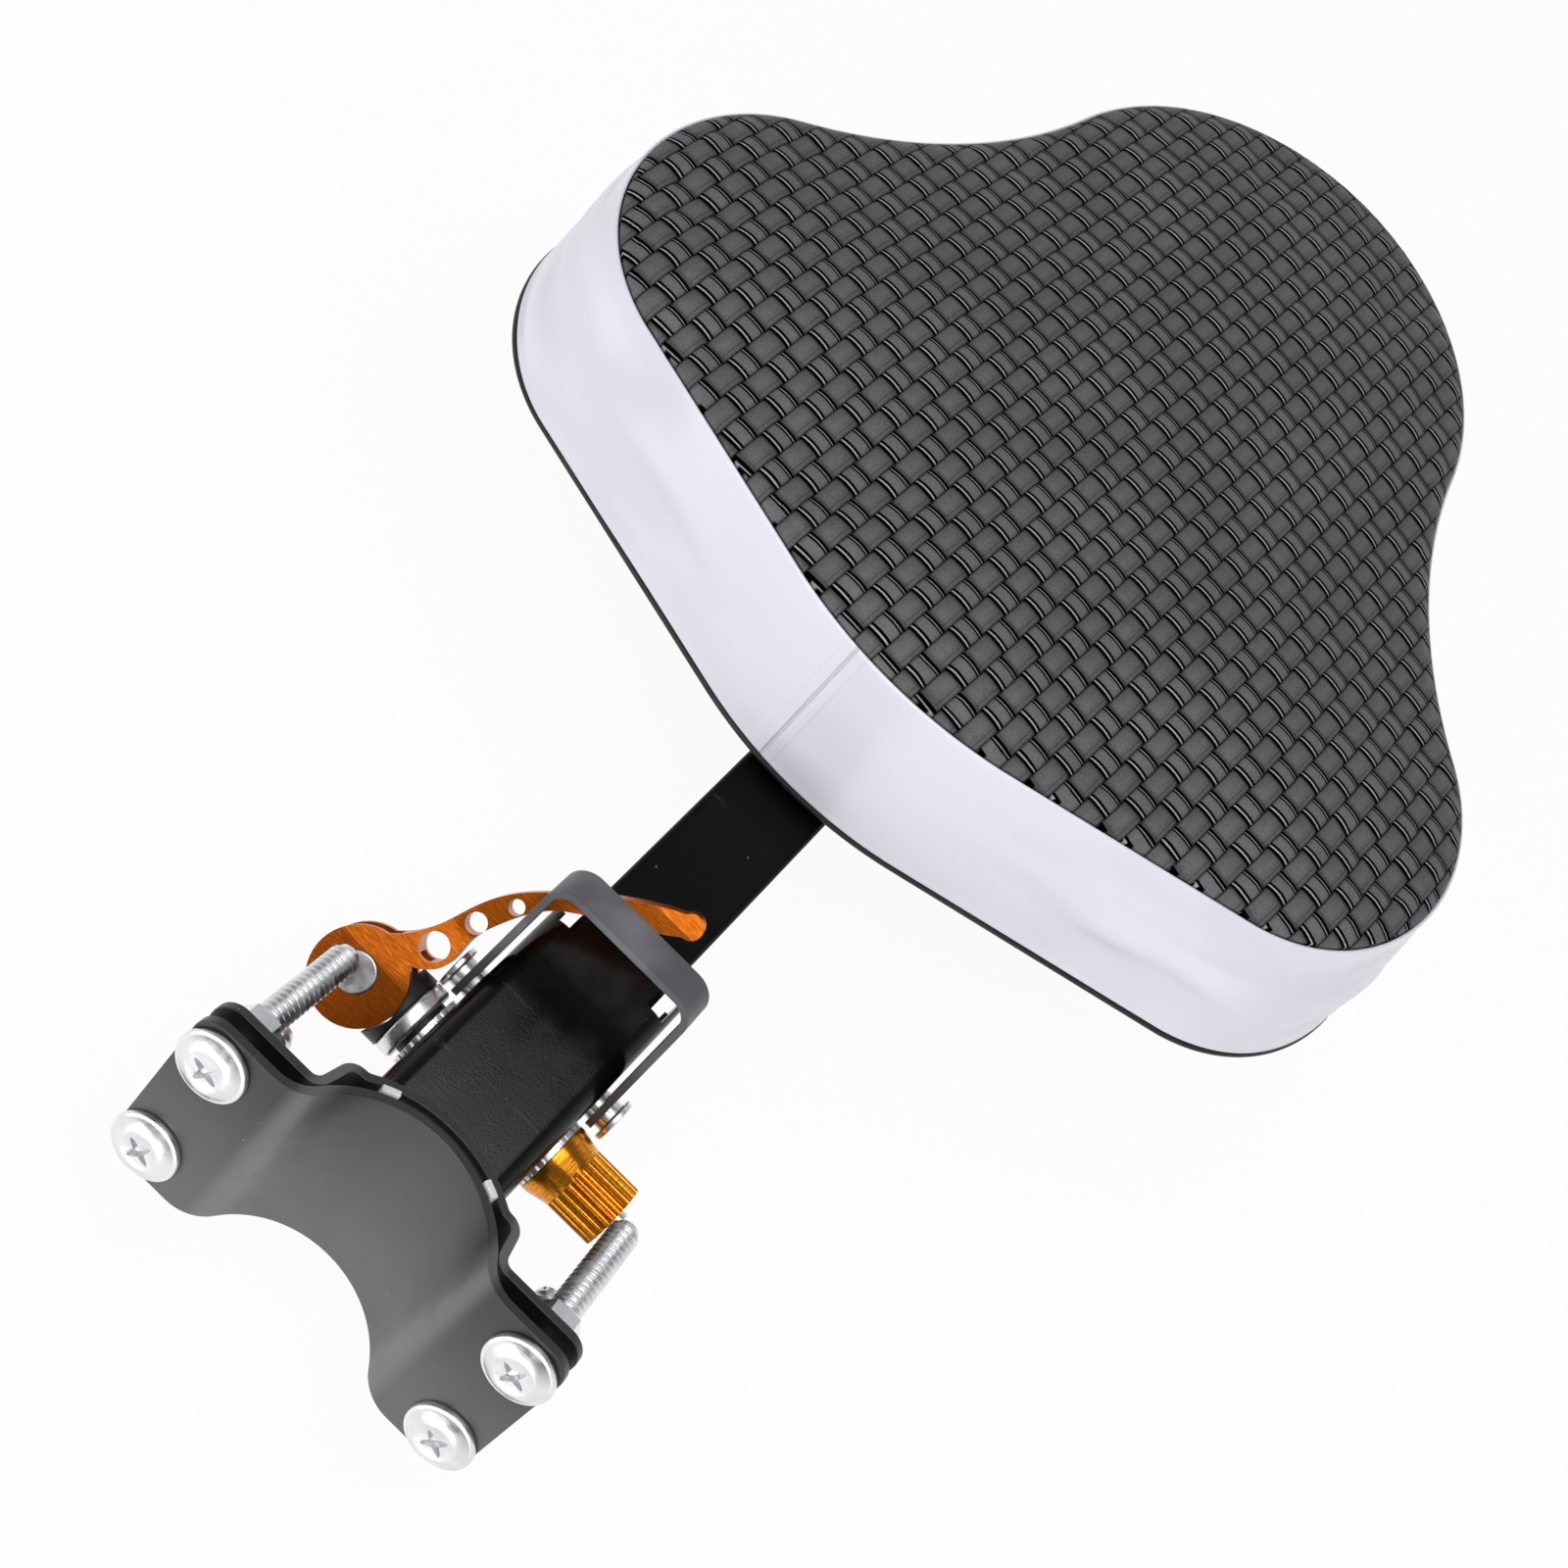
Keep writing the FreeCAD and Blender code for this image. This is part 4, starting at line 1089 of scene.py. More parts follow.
    def shank(self) -> bmesh.types.BMesh:
        """Turns one shank and winds its thread.

        Returns:
            The shank, towards +X from under its head.
        """
        shank = bmesh.new()
        end, neck, depth = self.bolt_length, self.thread_start, self.crest - self.root
        lathe(shank, ((-self.head_overlap, self.crest), (neck - self.thread_lead, self.crest),
                      (neck, self.root), (end - self.thread_lead, self.root),
                      (end, self.root - self.end_chamfer), (end, 0.0)), self.shank_steps)
        flank = drawn(shank, [(neck - self.thread_lead + share * self.pitch, self.root + rise * depth)
                              for share, rise in self.flank])
        turns = int((end - neck) / self.pitch)
        bmesh.ops.spin(shank, geom=flank, cent=(0, 0, 0), axis=(1, 0, 0), angle=math.tau * turns,
                       steps=self.thread_steps * turns, dvec=(self.pitch / self.thread_steps, 0, 0))
        for vert in shank.verts:
            spare = (end - self.thread_stop - vert.co.x) / self.pitch
            radius = math.hypot(vert.co.y, vert.co.z)
            if radius > self.root and spare < 1.0:
                wanted = self.root + (radius - self.root) * max(0.0, spare)
                vert.co.y *= wanted / radius
                vert.co.z *= wanted / radius
        bmesh.ops.remove_doubles(shank, verts=shank.verts, dist=self.thread_weld)
        bmesh.ops.recalc_face_normals(shank, faces=shank.faces)
        LOG.info("bolt thread wound over %d turns", turns)
        return shank

    def bolts(self) -> bmesh.types.BMesh:
        """Sets the four bolts in their holes.

        Returns:
            All four.
        """
        parts = (self.head(), self.shank())
        bolts = bmesh.new()
        tilt = Matrix.Rotation(math.radians(-self.lean), 4, "X")
        along = Matrix.Rotation(math.pi / 2, 4, "Z")
        corners = [(across, up) for across in (-self.bolt_across, self.bolt_across)
                   for up in (-self.bolt_up, self.bolt_up)]
        for (across, up), turn in zip(corners, self.star_turns):
            hole = tilt @ Matrix.Translation((across, self.flange_face, up)) @ along
            for part in parts:
                added(bolts, part, hole @ Matrix.Rotation(math.radians(turn), 4, "X"))
        for part in parts:
            part.free()
        return bolts


@dataclass
class Arm:
    """The socket, the arm in it and what carries the seat's board."""

    socket_bevel: float = 0.4
    arm_bevel: float = 0.3
    plate_bevel: float = 0.5
    screw_bevel: float = 0.4

    def build(self, shop: Workshop) -> None:
        """Builds the arm's pieces.

        Args:
            shop: what makes the pieces.
        """
        shop.softened("socket_tube", Body.CLAMP, Look.TUBE_PAINT, self.socket_bevel, Crease.FOLDED)
        shop.softened("stem_tube", Body.SEAT, Look.ARM_PAINT, self.arm_bevel, Crease.FOLDED)
        shop.softened("seat_plate", Body.SEAT, Look.ARM_PAINT, self.plate_bevel, Crease.FOLDED)
        shop.softened("seat_screws", Body.SEAT, Look.ZINC, self.screw_bevel)
        shop.dressed("tee_nuts", Look.ZINC)
        shop.dressed("seat_board", Look.PLYWOOD)


@dataclass
class QuickRelease:
    """The cam lever on its barrel, the washers, the skewer and the thumb nut."""

    lever_bevel: float = 0.6
    barrel_bevel: float = 0.45
    cam_bevel: float = 0.3
    disc_bevel: float = 0.25
    washer_bevel: float = 0.18
    skewer_bevel: float = 0.5
    nut_bevel: float = 0.18

    def build(self, shop: Workshop) -> None:
        """Builds the quick-release's pieces.

        Args:
            shop: what makes the pieces.
        """
        shop.softened("cam_lever", Body.LEVER, Look.LEVER_DYE, self.lever_bevel, Crease.FOLDED)
        shop.softened("lever_barrel", Body.CLAMP, Look.ZINC, self.barrel_bevel)
        shop.softened("cam_washer", Body.CLAMP, Look.BLACK_PLASTIC, self.cam_bevel, Crease.FOLDED)
        shop.softened("pressure_disc", Body.CLAMP, Look.ZINC, self.disc_bevel)
        shop.softened("spacer_washer", Body.CLAMP, Look.BLACK_PLASTIC, self.washer_bevel)
        for node in ("lever_lock_washer", "nut_lock_washer"):
            shop.softened(node, Body.CLAMP, Look.ZINC, self.washer_bevel)
        shop.softened("skewer", Body.CLAMP, Look.ZINC, self.skewer_bevel)
        shop.softened("thumb_nut", Body.NUT, Look.NUT_DYE, self.nut_bevel)


@dataclass
class SafetyBail:
    """The U-shaped strap and its two shoulder pins."""

    strap_bevel: float = 0.35
    pin_bevel: float = 0.3

    def build(self, shop: Workshop) -> None:
        """Builds the bail and its pins.

        Args:
            shop: what makes the pieces.
        """
        shop.softened("safety_bail", Body.BAIL, Look.STRAP_PAINT, self.strap_bevel, Crease.FOLDED)
        for node in ("left_bail_pin", "right_bail_pin"):
            shop.softened(node, Body.CLAMP, Look.ZINC, self.pin_bevel)


# Seat


@dataclass
class SeatForm:
    """The seat's three-lobed form: an outline of tangent arcs and two straight flanks.

    The outline widens by the flares from the seam to the bottom edge, and the top is rolled at its edge.
    """

    bottom: float = -1.643
    seam: float = 50.757
    near: float = 149.2
    near_radius: float = 110.0
    lobe_across: float = 75.5
    lobe_along: float = 211.5
    lobe_radius: float = 43.3
    waist_radius: float = 120.0
    nose_along: float = 300.5
    nose_radius: float = 64.6
    flare_near: float = 2.2
    flare_lobe: float = 11.2
    flare_nose: float = 6.0
    roll_width: float = 17.0
    roll_height: float = 4.0
    divisions: tuple[int, ...] = (24, 40, 92, 44, 60)
    batch: int = 4000
    weld: float = 1e-3

    def outline(self, share: float = 1.0, outset: float = 0.0) -> list[Vector]:
        """Walks the outline from the middle of the near edge towards +X and round.

        Args:
            share: 0 at the bottom edge and 1 at the top seam.
            outset: how far outside the outline.

        Returns:
            The points, all at height 0.
        """
        flare = 1 - share
        near_c = Vector((0.0, self.near - self.flare_near * flare + self.near_radius))
        near_r = self.near_radius + outset
        lobe = Vector((self.lobe_across + self.flare_lobe * flare, self.lobe_along))
        lobe_r = self.lobe_radius + outset
        nose = Vector((0.0, self.nose_along))
        nose_r = self.nose_radius + self.flare_nose * flare + outset
        waist_r = self.waist_radius - outset
        gap = nose - lobe
        along = ((lobe_r + waist_r) ** 2 - (nose_r + waist_r) ** 2 + gap.length_squared) / (2 * gap.length)
        aside = math.sqrt((lobe_r + waist_r) ** 2 - along ** 2)
        unit = gap.normalized()
        waist = lobe + unit * along + Vector((unit.y, -unit.x)) * aside

        def heading(start: Vector, target: Vector) -> float:
            """The angle from one point to another."""
            return math.atan2(target.y - start.y, target.x - start.x)

        flank = heading(near_c, lobe) - math.acos((near_r - lobe_r) / (lobe - near_c).length)
        away = Vector((math.cos(flank), math.sin(flank)))
        first, last = near_c + away * near_r, lobe + away * lobe_r
        arcs = ((near_c, near_r, -math.pi / 2, flank), None, (lobe, lobe_r, flank, heading(lobe, waist)),
                (waist, waist_r, heading(waist, lobe), heading(waist, nose)),
                (nose, nose_r, heading(nose, waist), math.pi / 2))
        half = []
        for arc, count in zip(arcs, self.divisions):
            for index in range(count):
                if arc is None:
                    half.append(first.lerp(last, index / count).to_3d())
                    continue
                centre, radius, start, end = arc
                sweep = (end - start + math.pi) % math.tau - math.pi
                turn = start + sweep * index / count
                half.append(Vector((centre.x + radius * math.cos(turn),
                                    centre.y + radius * math.sin(turn), 0.0)))
        far = Vector((0.0, nose.y + nose_r, 0.0))
        return half + [far] + [Vector((-point.x, point.y, 0.0)) for point in half[:0:-1]]

    def depth(self, places: np.ndarray) -> np.ndarray:
        """How far inside the seam's outline points are.

        Args:
            places: (x, y) rows.

        Returns:
            The distances, negative outside.
        """
        ring = np.array([point[:2] for point in self.outline()])
        after = np.roll(ring, -1, axis=0)
        run = after - ring
        result = np.empty(len(places))
        for first in range(0, len(places), self.batch):
            chunk = places[first:first + self.batch]
            offset = chunk[:, None, :] - ring[None]
            along = np.clip((offset * run).sum(2) / (run * run).sum(1), 0, 1)
            gap = np.linalg.norm(offset - along[..., None] * run, axis=2).min(1)
            crosses = (ring[None, :, 1] > chunk[:, None, 1]) != (after[None, :, 1] > chunk[:, None, 1])
            height = np.where(run[:, 1] == 0, 1e-9, run[:, 1])
            meets = ring[None, :, 0] + (chunk[:, None, 1] - ring[None, :, 1]) * run[:, 0] / height
            inside = (crosses & (chunk[:, None, 0] < meets)).sum(1) % 2 == 1
            result[first:first + self.batch] = np.where(inside, gap, -gap)
        return result

    def share(self, height: float) -> float:
        """The share of the side's height at a height."""
        return (height - self.bottom) / (self.seam - self.bottom)

    def rise(self, depth: np.ndarray) -> np.ndarray:
        """The rolled edge's height over the seam at distances inside the outline."""
        part = np.clip(1 - depth / self.roll_width, 0, 1)
        return self.roll_height * np.sqrt(np.clip(1 - part ** 2, 0, 1))

    def wall(self, rows: Sequence[tuple[float, float]], bulge: Callable[[Vector, float], float] | None = None,
             closed: bool = False) -> bmesh.types.BMesh:
        """Sweeps a wall round the outline.

        Args:
            rows: (outset, height) of each row, from the first to the last.
            bulge: how far outwards a point of the outline stands at a height.
            closed: whether the last row joins the first.

        Returns:
            The wall.
        """
        mesh = bmesh.new()
        count = len(self.outline())
        ring = bmesh.ops.create_circle(mesh, cap_ends=False, radius=1.0, segments=count)["verts"]
        for index, (outset, height) in enumerate(rows):
            if index:
                last = set(ring)
                edges = [edge for vert in ring for edge in vert.link_edges
                         if (edge.is_boundary or edge.is_wire) and last.issuperset(edge.verts)]
                made = bmesh.ops.extrude_edge_only(mesh, edges=list(dict.fromkeys(edges)))
                fresh = set(fresh_verts(made))
                ring = [next(edge.other_vert(vert) for edge in vert.link_edges
                             if edge.other_vert(vert) in fresh) for vert in ring]
            line = self.outline(self.share(height), outset)
            wide = self.outline(self.share(height), outset + 1.0)
            for vert, point, outer in zip(ring, line, wide):
                push = bulge(point, height) if bulge else 0.0
                vert.co = point + (outer - point) * push + Vector((0, 0, height))
        if closed:
            bmesh.ops.remove_doubles(mesh, verts=mesh.verts, dist=self.weld)
        bmesh.ops.recalc_face_normals(mesh, faces=mesh.faces)
        return mesh


@dataclass
class PadLift:
    """How far the pad's top has risen by swelling, fading out over a margin at the outline."""

    before: BVHTree
    after: BVHTree
    margin: float = 8.0

    def at(self, places: np.ndarray, inside: np.ndarray) -> np.ndarray:
        """Looks straight down on the pad before and after.

        Args:
            places: (x, y) rows in millimetres.
            inside: how far inside the outline they are.

        Returns:
            The rises in millimetres.
        """
        down = Vector((0, 0, -1))
        result = np.zeros(len(places))
        for index, (x, y) in enumerate(places * MM):
            origin = Vector((x, y, 1.0))
            low = self.before.ray_cast(origin, down)[0]
            high = self.after.ray_cast(origin, down)[0]
            if low and high:
                result[index] = (high.z - low.z) / MM
        return result * np.clip(inside / self.margin, 0, 1)


@dataclass
class SeatPad:
    """The foam pad, which swells a little under its cover."""

    seat: SeatForm
    bottom: float = 7.9
    middle: float = 30.0
    shoulder: float = 2.0
    inset: float = 2.2
    drop: float = 1.8
    crown_insets: tuple[float, ...] = (3.0, 4.5, 7.0, 11.0, 17.0)
    crown_slack: float = 1.0
    voxel: float = 5.0
    held: float = 1.0
    pressure: float = 4.0
    quality: int = 6
    frames: int = 20
    swell_height: float = 2.6
    swell_width: float = 55.0
    swell_limit: float = 5.0
    smooth: float = 0.6

    def form(self) -> bpy.types.Object:
        """Makes the pad before it swells.

        Returns:
            A scratch object in metres, remeshed evenly.
        """
        seam = self.seat.seam
        rows = [(-self.inset, height) for height in (self.bottom, self.middle, seam - self.shoulder)]
        crown = seam - self.drop + self.seat.rise(np.array(self.crown_insets) - self.crown_slack)
        rows += [(-inset, float(height)) for inset, height in zip(self.crown_insets, crown)]
        mesh = self.seat.wall(rows)
        bmesh.ops.holes_fill(mesh, edges=[edge for edge in mesh.edges if edge.is_boundary])
        bmesh.ops.recalc_face_normals(mesh, faces=mesh.faces)
        resized(mesh, MM)
        item = placed(mesh, "pad_form")
        remesh = item.modifiers.new("even", "REMESH")
        remesh.mode = "VOXEL"
        remesh.voxel_size = self.voxel * MM
        item.data = applied(item)
        item.modifiers.clear()
        return item

    def swelled(self, item: bpy.types.Object, upper: np.ndarray) -> np.ndarray:
        """Runs the cloth simulation that lets the pad swell under its cover.

        Args:
            item: the pad's form.
            upper: which of its points are free to move.

        Returns:
            The points after swelling, in metres.
        """
        scene = bpy.context.scene
        held = item.vertex_groups.new(name="held")
        held.add(np.flatnonzero(~upper).tolist(), 1.0, "REPLACE")
        cloth = item.modifiers.new("swell", "CLOTH")
        cloth.settings.use_pressure = True
        cloth.settings.uniform_pressure_force = self.pressure
        cloth.settings.vertex_group_mass = held.name
        cloth.settings.effector_weights.gravity = 0.0
        cloth.settings.quality = self.quality
        cloth.point_cache.frame_start = 1
        cloth.point_cache.frame_end = self.frames
        for step in range(1, self.frames + 1):
            scene.frame_set(step)
        graph = bpy.context.evaluated_depsgraph_get()
        data = item.evaluated_get(graph).to_mesh()
        points = np.empty(len(data.vertices) * 3)
        data.vertices.foreach_get("co", points)
        item.modifiers.clear()
        scene.frame_set(1)
        return points.reshape(-1, 3)

    def mesh(self) -> tuple[bmesh.types.BMesh, PadLift]:
        """Makes the swelled pad.

        Returns:
            The pad in millimetres, and how far it has risen.
        """
        form = self.form()
        start = np.array([vert.co for vert in form.data.vertices])
        upper = start[:, 2] >= (self.seat.seam - self.held) * MM
        part = np.clip(1 - self.seat.depth(start[:, :2] / MM) / self.swell_width, 0, 1)
        shift = np.zeros_like(start)
        shift[:, 2] = np.where(upper, self.swell_height * (1 - part ** 2), 0.0) * MM
        shift = self.swelled(form, upper) - start
        length = np.linalg.norm(shift, axis=1, keepdims=True)
        shift *= np.minimum(1.0, self.swell_limit * MM / np.maximum(length, 1e-9))
        LOG.info("the pad swelled by %.1f mm at most", np.linalg.norm(shift, axis=1).max() / MM)
        pad = bmesh.new()
        pad.from_mesh(form.data)
        before = BVHTree.FromBMesh(pad)
        for vert, move in zip(pad.verts, shift):
            vert.co += Vector(move)
        after = BVHTree.FromBMesh(pad)
        bmesh.ops.subdivide_edges(pad, edges=pad.edges, cuts=1, use_grid_fill=True, smooth=self.smooth)
        resized(pad, 1 / MM)
        bpy.data.meshes.remove(form.data)
        return pad, PadLift(before, after)


@dataclass
class WovenTop:
    """The basket-woven panel over the pad, tucked in behind the band."""

    seat: SeatForm
    pitch_across: float = 5.55
    pitch_along: float = 6.1
    turn: float = -4.0
    cell_steps: int = 8
    spare_steps: int = 4
    strip_rise: float = 0.5
    strip_round: float = 0.5
    strip_bow: float = 0.75
    along_width: float = 0.98
    across_width: float = 0.84
    tuck: float = 1.1
    tuck_gap: float = 0.5
    tuck_drop: float = 2.5
    tuck_weld: float = 0.05
    settle: float = 5.0
    sink: float = 0.4

    def weave(self, places: np.ndarray) -> np.ndarray:
        """The woven strips' height at points.

        Args:
            places: (x, y) rows.

        Returns:
            The heights.
        """
        turn = math.radians(self.turn)
        column = (places[:, 0] * math.cos(turn) + places[:, 1] * math.sin(turn)) / self.pitch_across
        row = (places[:, 1] * math.cos(turn) - places[:, 0] * math.sin(turn)) / self.pitch_along
        side, end = column - np.floor(column), row - np.floor(row)
        over = np.where((np.floor(column) + np.floor(row)) % 2 == 0, 1.0, -1.0)

        def strip(bow: np.ndarray, across: np.ndarray, width: float) -> np.ndarray:
            """A strip's face: bowed along its run and rounded across it."""
            edge = np.clip(np.abs(2 * across - 1) / width, 0, 1)
            return self.strip_rise * bow + self.strip_round * np.sqrt(1 - edge ** 4)

        along = strip(over * np.sin(np.pi * end) ** self.strip_bow, side, self.along_width)
        crosswise = strip(-over * np.sin(np.pi * side) ** self.strip_bow, end, self.across_width)
        return np.maximum(along, crosswise)

    def blank(self) -> bmesh.types.BMesh:
        """Cuts the flat panel to the outline from a grid that lies along the strips.

        Returns:
            The panel at height 0.
        """
        turn = Matrix.Rotation(math.radians(self.turn), 4, "Z")
        reach = np.array([(turn.inverted() @ point)[:2] for point in self.seat.outline()])
        step = np.array((self.pitch_across, self.pitch_along)) / self.cell_steps
        low = np.floor(reach.min(0) / step) - self.spare_steps
        count = np.ceil(reach.max(0) / step) + self.spare_steps - low
        middle, size = (low + count / 2) * step, count * step
        place = turn @ Matrix.Translation((*middle, 0)) @ Matrix.Diagonal((*size, 1, 1))
        across, along = (int(number) for number in count)
        mesh = bmesh.new()
        bmesh.ops.create_grid(mesh, x_segments=across, y_segments=along, size=0.5, matrix=place)
        inside = self.seat.depth(np.array([vert.co[:2] for vert in mesh.verts]))
        outer = [vert for vert, gap in zip(mesh.verts, inside) if gap < self.tuck + self.tuck_gap]
        bmesh.ops.delete(mesh, geom=outer, context="VERTS")
        rim = hemmed(mesh)
        line = np.array([point[:2] for point in self.seat.outline(1.0, -self.tuck)])
        run = np.roll(line, -1, axis=0) - line
        line = np.concatenate([line + run * part for part in (0, 0.25, 0.5, 0.75)])
        for vert in rim:
            vert.co.xy = line[((line - np.array(vert.co[:2])) ** 2).sum(1).argmin()]
        bmesh.ops.remove_doubles(mesh, verts=rim, dist=self.tuck_weld)
        return mesh

    def mesh(self, lift: PadLift) -> bmesh.types.BMesh:
        """Weaves the panel over the pad.

        Args:
            lift: how far the pad has risen.

        Returns:
            The panel.
        """
        mesh = self.blank()
        places = np.array([vert.co[:2] for vert in mesh.verts])
        inside = self.seat.depth(places)
        settle = np.clip((inside - self.tuck) / self.settle, 0, 1)
        height = self.seat.seam + self.seat.rise(inside - self.sink) + lift.at(places, inside)
        height += self.weave(places) * settle - self.sink
        for vert, value in zip(mesh.verts, height):
            vert.co.z = value
        bmesh.ops.translate(mesh, vec=(0, 0, -self.tuck_drop), verts=hemmed(mesh))
        bmesh.ops.recalc_face_normals(mesh, faces=mesh.faces)
        return mesh


@dataclass
class PaleBand:
    """The band from its bottom hem up to its turned-in top hem, creased round the lobes.

    The bottom hem is drawn by (outset, height over the band's lower edge).
    """

    seat: SeatForm
    lift: float = 2.3
    low_hem: Profile = ((-2.0, 0.3), (-0.5, 0.0), (0.1, 0.1), (0.3, 0.6), (0.1, 1.2))
    rows: int = 26
    bulge: float = 0.7
    hem: float = 0.7
    hem_drop: float = 0.6
    hem_lean: float = 0.6
    hem_turns: tuple[float, ...] = (25.0, 55.0, 90.0, 130.0, 165.0)
    hem_inset: float = 1.3
    hem_end: float = 2.5
    crease_level: float = 0.018
    crease_upright: float = 0.075
    crease_depth: float = 1.4
    fine_depth: float = 0.55
    fine_ratio: float = 2.3
    fine_shift: tuple[float, float, float] = (7.0, 3.0, 1.0)
    lobe_start: float = 55.0
    lobe_width: float = 30.0
    least_share: float = 0.25

    def creases(self, point: Vector, height: float) -> float:
        """How far the band stands out: a soft bulge, with creases round the lobes.

        Args:
            point: a point of the outline.
            height: its height.

        Returns:
            The distance outwards.
        """
        swell = math.sin(math.pi * min(max(self.seat.share(height), 0.0), 1.0))
        lobes = min(max((abs(point.x) - self.lobe_start) / self.lobe_width, 0.0), 1.0)
        run = Vector((point.x * self.crease_level, point.y * self.crease_level, height * self.crease_upright))
        fine = noise.noise(run * self.fine_ratio + Vector(self.fine_shift))
        waves = noise.noise(run) * self.crease_depth + fine * self.fine_depth
        share = self.least_share + (1 - self.least_share) * lobes
        return self.bulge * swell + waves * swell ** 0.5 * share

    def mesh(self) -> bmesh.types.BMesh:
        """Draws the band.

        Returns:
            The band.
        """
        base, top = self.seat.bottom + self.lift, self.seat.seam - self.hem_drop
        rows = [(outset, base + rise) for outset, rise in self.low_hem]
        first = rows[-1][1]
        rows += [(0.0, first + (top - first) * (index + 1) / self.rows) for index in range(self.rows)]
        for turn in self.hem_turns:
            angle = math.radians(turn)
            inset = self.hem * (1 - math.cos(angle)) * self.hem_lean
            rows.append((-inset, top + self.hem * math.sin(angle)))
        rows.append((-self.hem * self.hem_inset, self.seat.seam - self.hem_end))
        return self.seat.wall(rows, self.creases)


@dataclass
class BottomEdging:
    """The half-round edging under the band."""

    seat: SeatForm
    half_height: float = 1.15
    reach: float = 1.3
    inset: float = 0.6
    inner: float = 4.0
    step: int = 18

    def mesh(self) -> bmesh.types.BMesh:
        """Draws the edging.

        Returns:
            The edging.
        """
        half = self.half_height
        middle = self.seat.bottom + half
        rows = []
        for turn in range(-90, 91, self.step):
            angle = math.radians(turn)
            rows.append((self.reach * math.cos(angle) - self.inset, middle + half * math.sin(angle)))
        rows += [(-self.inner, middle + half), (-self.inner, middle - half), rows[0]]
        return self.seat.wall(rows, closed=True)


@dataclass
class Seat:
    """The upholstered seat: swelled pad, woven top, pale band and bottom edging."""

    form: SeatForm = field(default_factory=SeatForm)

    def __post_init__(self) -> None:
        """Draws the soft pieces up on one form."""
        self.pad, self.top = SeatPad(self.form), WovenTop(self.form)
        self.band, self.edging = PaleBand(self.form), BottomEdging(self.form)

    def build(self, shop: Workshop) -> None:
        """Builds the seat's soft pieces.

        Args:
            shop: what makes the pieces.
        """
        pad, lift = self.pad.mesh()
        item = shop.piece(pad, "seat_pad", Body.SEAT, Look.FOAM, ("foam_pad",), crease=Crease.SEWN)
        cover = shop.piece(self.top.mesh(lift), "woven_top", Body.SEAT, Look.WEAVE, ("top_cover",),
                           crease=Crease.WOVEN)
        band = shop.piece(self.band.mesh(), "pale_band", Body.SEAT, Look.VINYL, ("side_band",),
                          crease=Crease.SEWN)
        shop.piece(self.edging.mesh(), "bottom_edging", Body.SEAT, Look.BLACK_PLASTIC, ("rim_trim",),
                   crease=Crease.SEWN)


# Studio


@dataclass(frozen=True)
class Softbox:
    """A rectangular soft light, in metres and watts."""

    name: str
    place: tuple[float, float, float]
    target: tuple[float, float, float]
    size: tuple[float, float]
    power: float

    def hang(self) -> None:
        """Hangs the light and points it."""
        light = bpy.data.lights.new(self.name, "AREA")
        light.shape = "RECTANGLE"
        light.size, light.size_y = self.size
        light.energy = self.power
        item = bpy.data.objects.new(self.name, light)
        item.location = self.place
        aim = Vector(self.target) - Vector(self.place)
        item.rotation_euler = aim.to_track_quat("-Z", "Y").to_euler()
        bpy.context.scene.collection.objects.link(item)


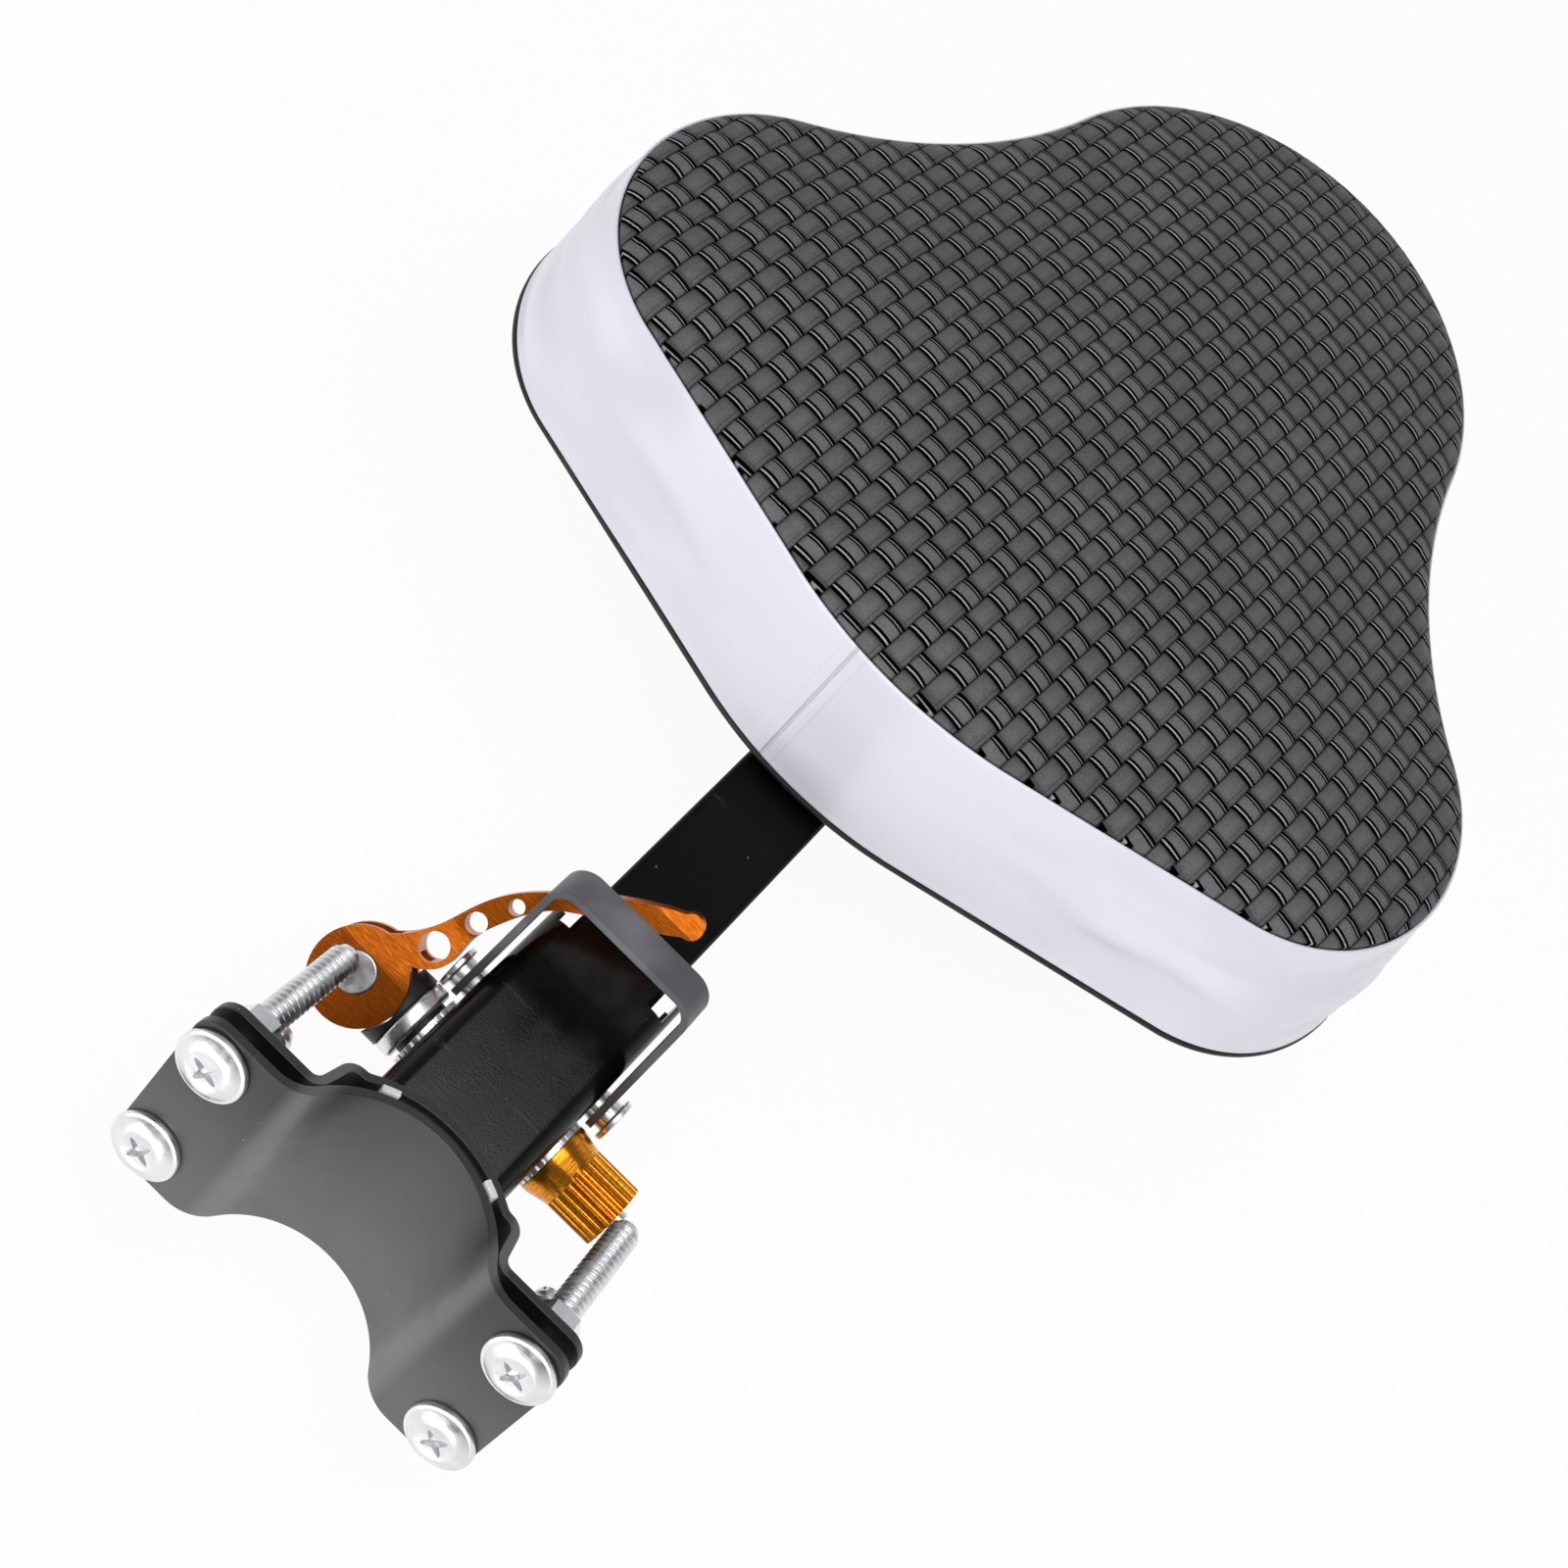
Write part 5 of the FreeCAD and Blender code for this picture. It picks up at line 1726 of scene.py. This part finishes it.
@dataclass
class Studio:
    """A white sweep, two soft lights and the camera."""

    floor: float = -60.0
    floor_half: float = 6.0
    floor_cells: int = 8
    paper: float = 0.92
    glow: float = 0.94
    horizon: float = 0.76
    zenith: float = 0.2
    fall: Range = (0.15, 0.75)
    lights: tuple[Softbox, ...] = (
        Softbox("front softbox", (-0.25, -1.3, 0.3), (0.0, 0.15, 0.02), (1.5, 0.6), 10.0),
        Softbox("overhead softbox", (0.1, 0.0, 1.2), (0.1, 0.0, 0.0), (0.95, 0.95), 7.5))
    camera_place: tuple[float, float, float] = (-1.2, -84.0, 368.9)
    pitch: float = 58.0
    roll: float = 44.62
    lens: float = 45.0
    sensor: float = 36.0
    nearest: float = 0.01

    def build(self) -> None:
        """Sets the studio up."""
        self.sweep()
        self.world()
        for light in self.lights:
            light.hang()
        self.camera()
        bpy.context.scene.view_settings.view_transform = "Standard"

    def sweep(self) -> None:
        """Lays the white floor, which the camera, mirrors and glass see as bright paper with a shadow."""
        mesh = bmesh.new()
        bmesh.ops.create_grid(mesh, x_segments=self.floor_cells, y_segments=self.floor_cells,
                              size=self.floor_half, matrix=Matrix.Translation((0, 0, self.floor * MM)))
        floor = placed(mesh, "studio_floor")
        material = bpy.data.materials.new("white_sweep")
        material.use_nodes = True
        sheet = NodeSheet(material.node_tree)
        path = sheet.add("ShaderNodeLightPath")
        seen = path.outputs["Is Camera Ray"]
        for name in ("Is Glossy Ray", "Is Transmission Ray"):
            seen = sheet.calc("MAXIMUM", seen, path.outputs[name])
        paper = sheet.add("ShaderNodeBsdfDiffuse")
        sheet.feed(paper.inputs["Color"], (self.paper, self.paper, self.paper))
        glow = sheet.add("ShaderNodeEmission")
        mix = sheet.add("ShaderNodeMixShader")
        sheet.feed_all(mix.inputs, (sheet.times(seen, self.glow), paper.outputs[0], glow.outputs[0]))
        sheet.feed(sheet.add("ShaderNodeOutputMaterial").inputs[0], mix.outputs[0])
        floor.data.materials.append(material)

    def world(self) -> None:
        """Surrounds the object with light that falls off overhead, seen by the camera as plain white."""
        world = bpy.data.worlds.new("white_studio")
        world.use_nodes = True
        sheet = NodeSheet(world.node_tree)
        up = sheet.split(sheet.add("ShaderNodeTexCoord").outputs["Object"], "Z")
        light = sheet.step(up, *self.fall, self.horizon, self.zenith)
        seen = sheet.add("ShaderNodeLightPath").outputs["Is Camera Ray"]
        sky = sheet.add("ShaderNodeBackground")
        sheet.feed(sky.inputs["Color"], (1, 1, 1))
        sheet.feed(sky.inputs["Strength"], sheet.calc("MAXIMUM", light, seen))
        sheet.feed(sheet.add("ShaderNodeOutputWorld").inputs[0], sky.outputs[0])
        bpy.context.scene.world = world

    def camera(self) -> None:
        """Sets the camera at the photograph's angle, turned about its own axis."""
        data = bpy.data.cameras.new("camera")
        data.lens = self.lens
        data.sensor_width = self.sensor
        data.clip_start = self.nearest
        item = bpy.data.objects.new("camera", data)
        pitch, roll = math.radians(self.pitch), math.radians(self.roll)
        back = Vector((0, -math.cos(pitch), math.sin(pitch)))
        level_up = Vector((0, math.sin(pitch), math.cos(pitch)))
        right = Vector((math.cos(roll), 0, 0)) + level_up * math.sin(roll)
        up = level_up * math.cos(roll) - Vector((math.sin(roll), 0, 0))
        turn = Matrix((right, up, back)).transposed().to_4x4()
        item.matrix_world = Matrix.Translation(Vector(self.camera_place) * MM) @ turn
        bpy.context.scene.collection.objects.link(item)
        bpy.context.scene.camera = item


def finishes(seat: Seat) -> dict[Look, bpy.types.Material]:
    """Lays out every finish once.

    Args:
        seat: the seat, whose weave sets the cover's cells.

    Returns:
        The materials by look.
    """
    palette = {
        # The plates' paint is painted lighter low down as painted reflected light, and carries a painted
        # highlight along its folds.
        Look.PLATE_PAINT: PaintFinish("satin_plate_paint", (0.008, 0.008, 0.009), roughness=0.36, gloss=0.6,
                                      index=1.55, low_light_paint=(0.095, 0.095, 0.097), fold=0.0225),
        Look.TUBE_PAINT: PaintFinish("glossy_tube_paint", (0.003, 0.003, 0.0034), roughness=0.2, gloss=0.32,
                                     rub=1.5),
        Look.ARM_PAINT: PaintFinish("dull_arm_paint", (0.003, 0.003, 0.0034), roughness=0.4, gloss=0.08,
                                    rub=1.5),
        Look.STRAP_PAINT: PaintFinish("grey_strap_paint", (0.085, 0.086, 0.095), roughness=0.45, gloss=0.5),
        Look.LINER_RUBBER: MouldedFinish("black_liner_rubber", (0.012, 0.012, 0.013), 0.6),
        Look.LINER_STRIP: MouldedFinish("white_liner_strip", (0.8, 0.8, 0.79), 0.6),
        Look.ZINC: ZincFinish("bright_zinc_plate", (0.84, 0.85, 0.86)),
        Look.LEVER_DYE: AnodisedFinish("orange_anodised_lever", (0.68, 0.16, 0.014), Grain.ACROSS),
        Look.NUT_DYE: AnodisedFinish("amber_anodised_nut", (0.95, 0.34, 0.025), Grain.TURNED, 0.16),
        Look.BLACK_PLASTIC: MouldedFinish("black_moulded_plastic", (0.01, 0.01, 0.011), 0.45),
        Look.PLYWOOD: PlywoodFinish("bare_plywood", (0.5, 0.33, 0.18)),
        Look.FOAM: FoamFinish("seat_foam", (0.75, 0.72, 0.62)),
        Look.WEAVE: WeaveFinish("charcoal_weave", (0.53, 0.53, 0.555), seat.top.pitch_across * MM,
                                seat.top.pitch_along * MM, seat.top.turn),
        Look.VINYL: VinylFinish("pale_vinyl", (0.83, 0.82, 0.91)),
    }
    return {look: finish.material() for look, finish in palette.items()}


def main() -> None:
    """Builds the sub-assemblies in order and logs each one as it is built."""
    logging.basicConfig(level=logging.INFO, format="%(name)s: %(message)s")
    seat = Seat()
    shop = Workshop(finishes(seat))
    Studio().build()
    for assembly in (TubeClamp(), Arm(), QuickRelease(), SafetyBail(), seat):
        assembly.build(shop)
        LOG.info("%s built", type(assembly).__name__)


if __name__ == "__main__":
    main()
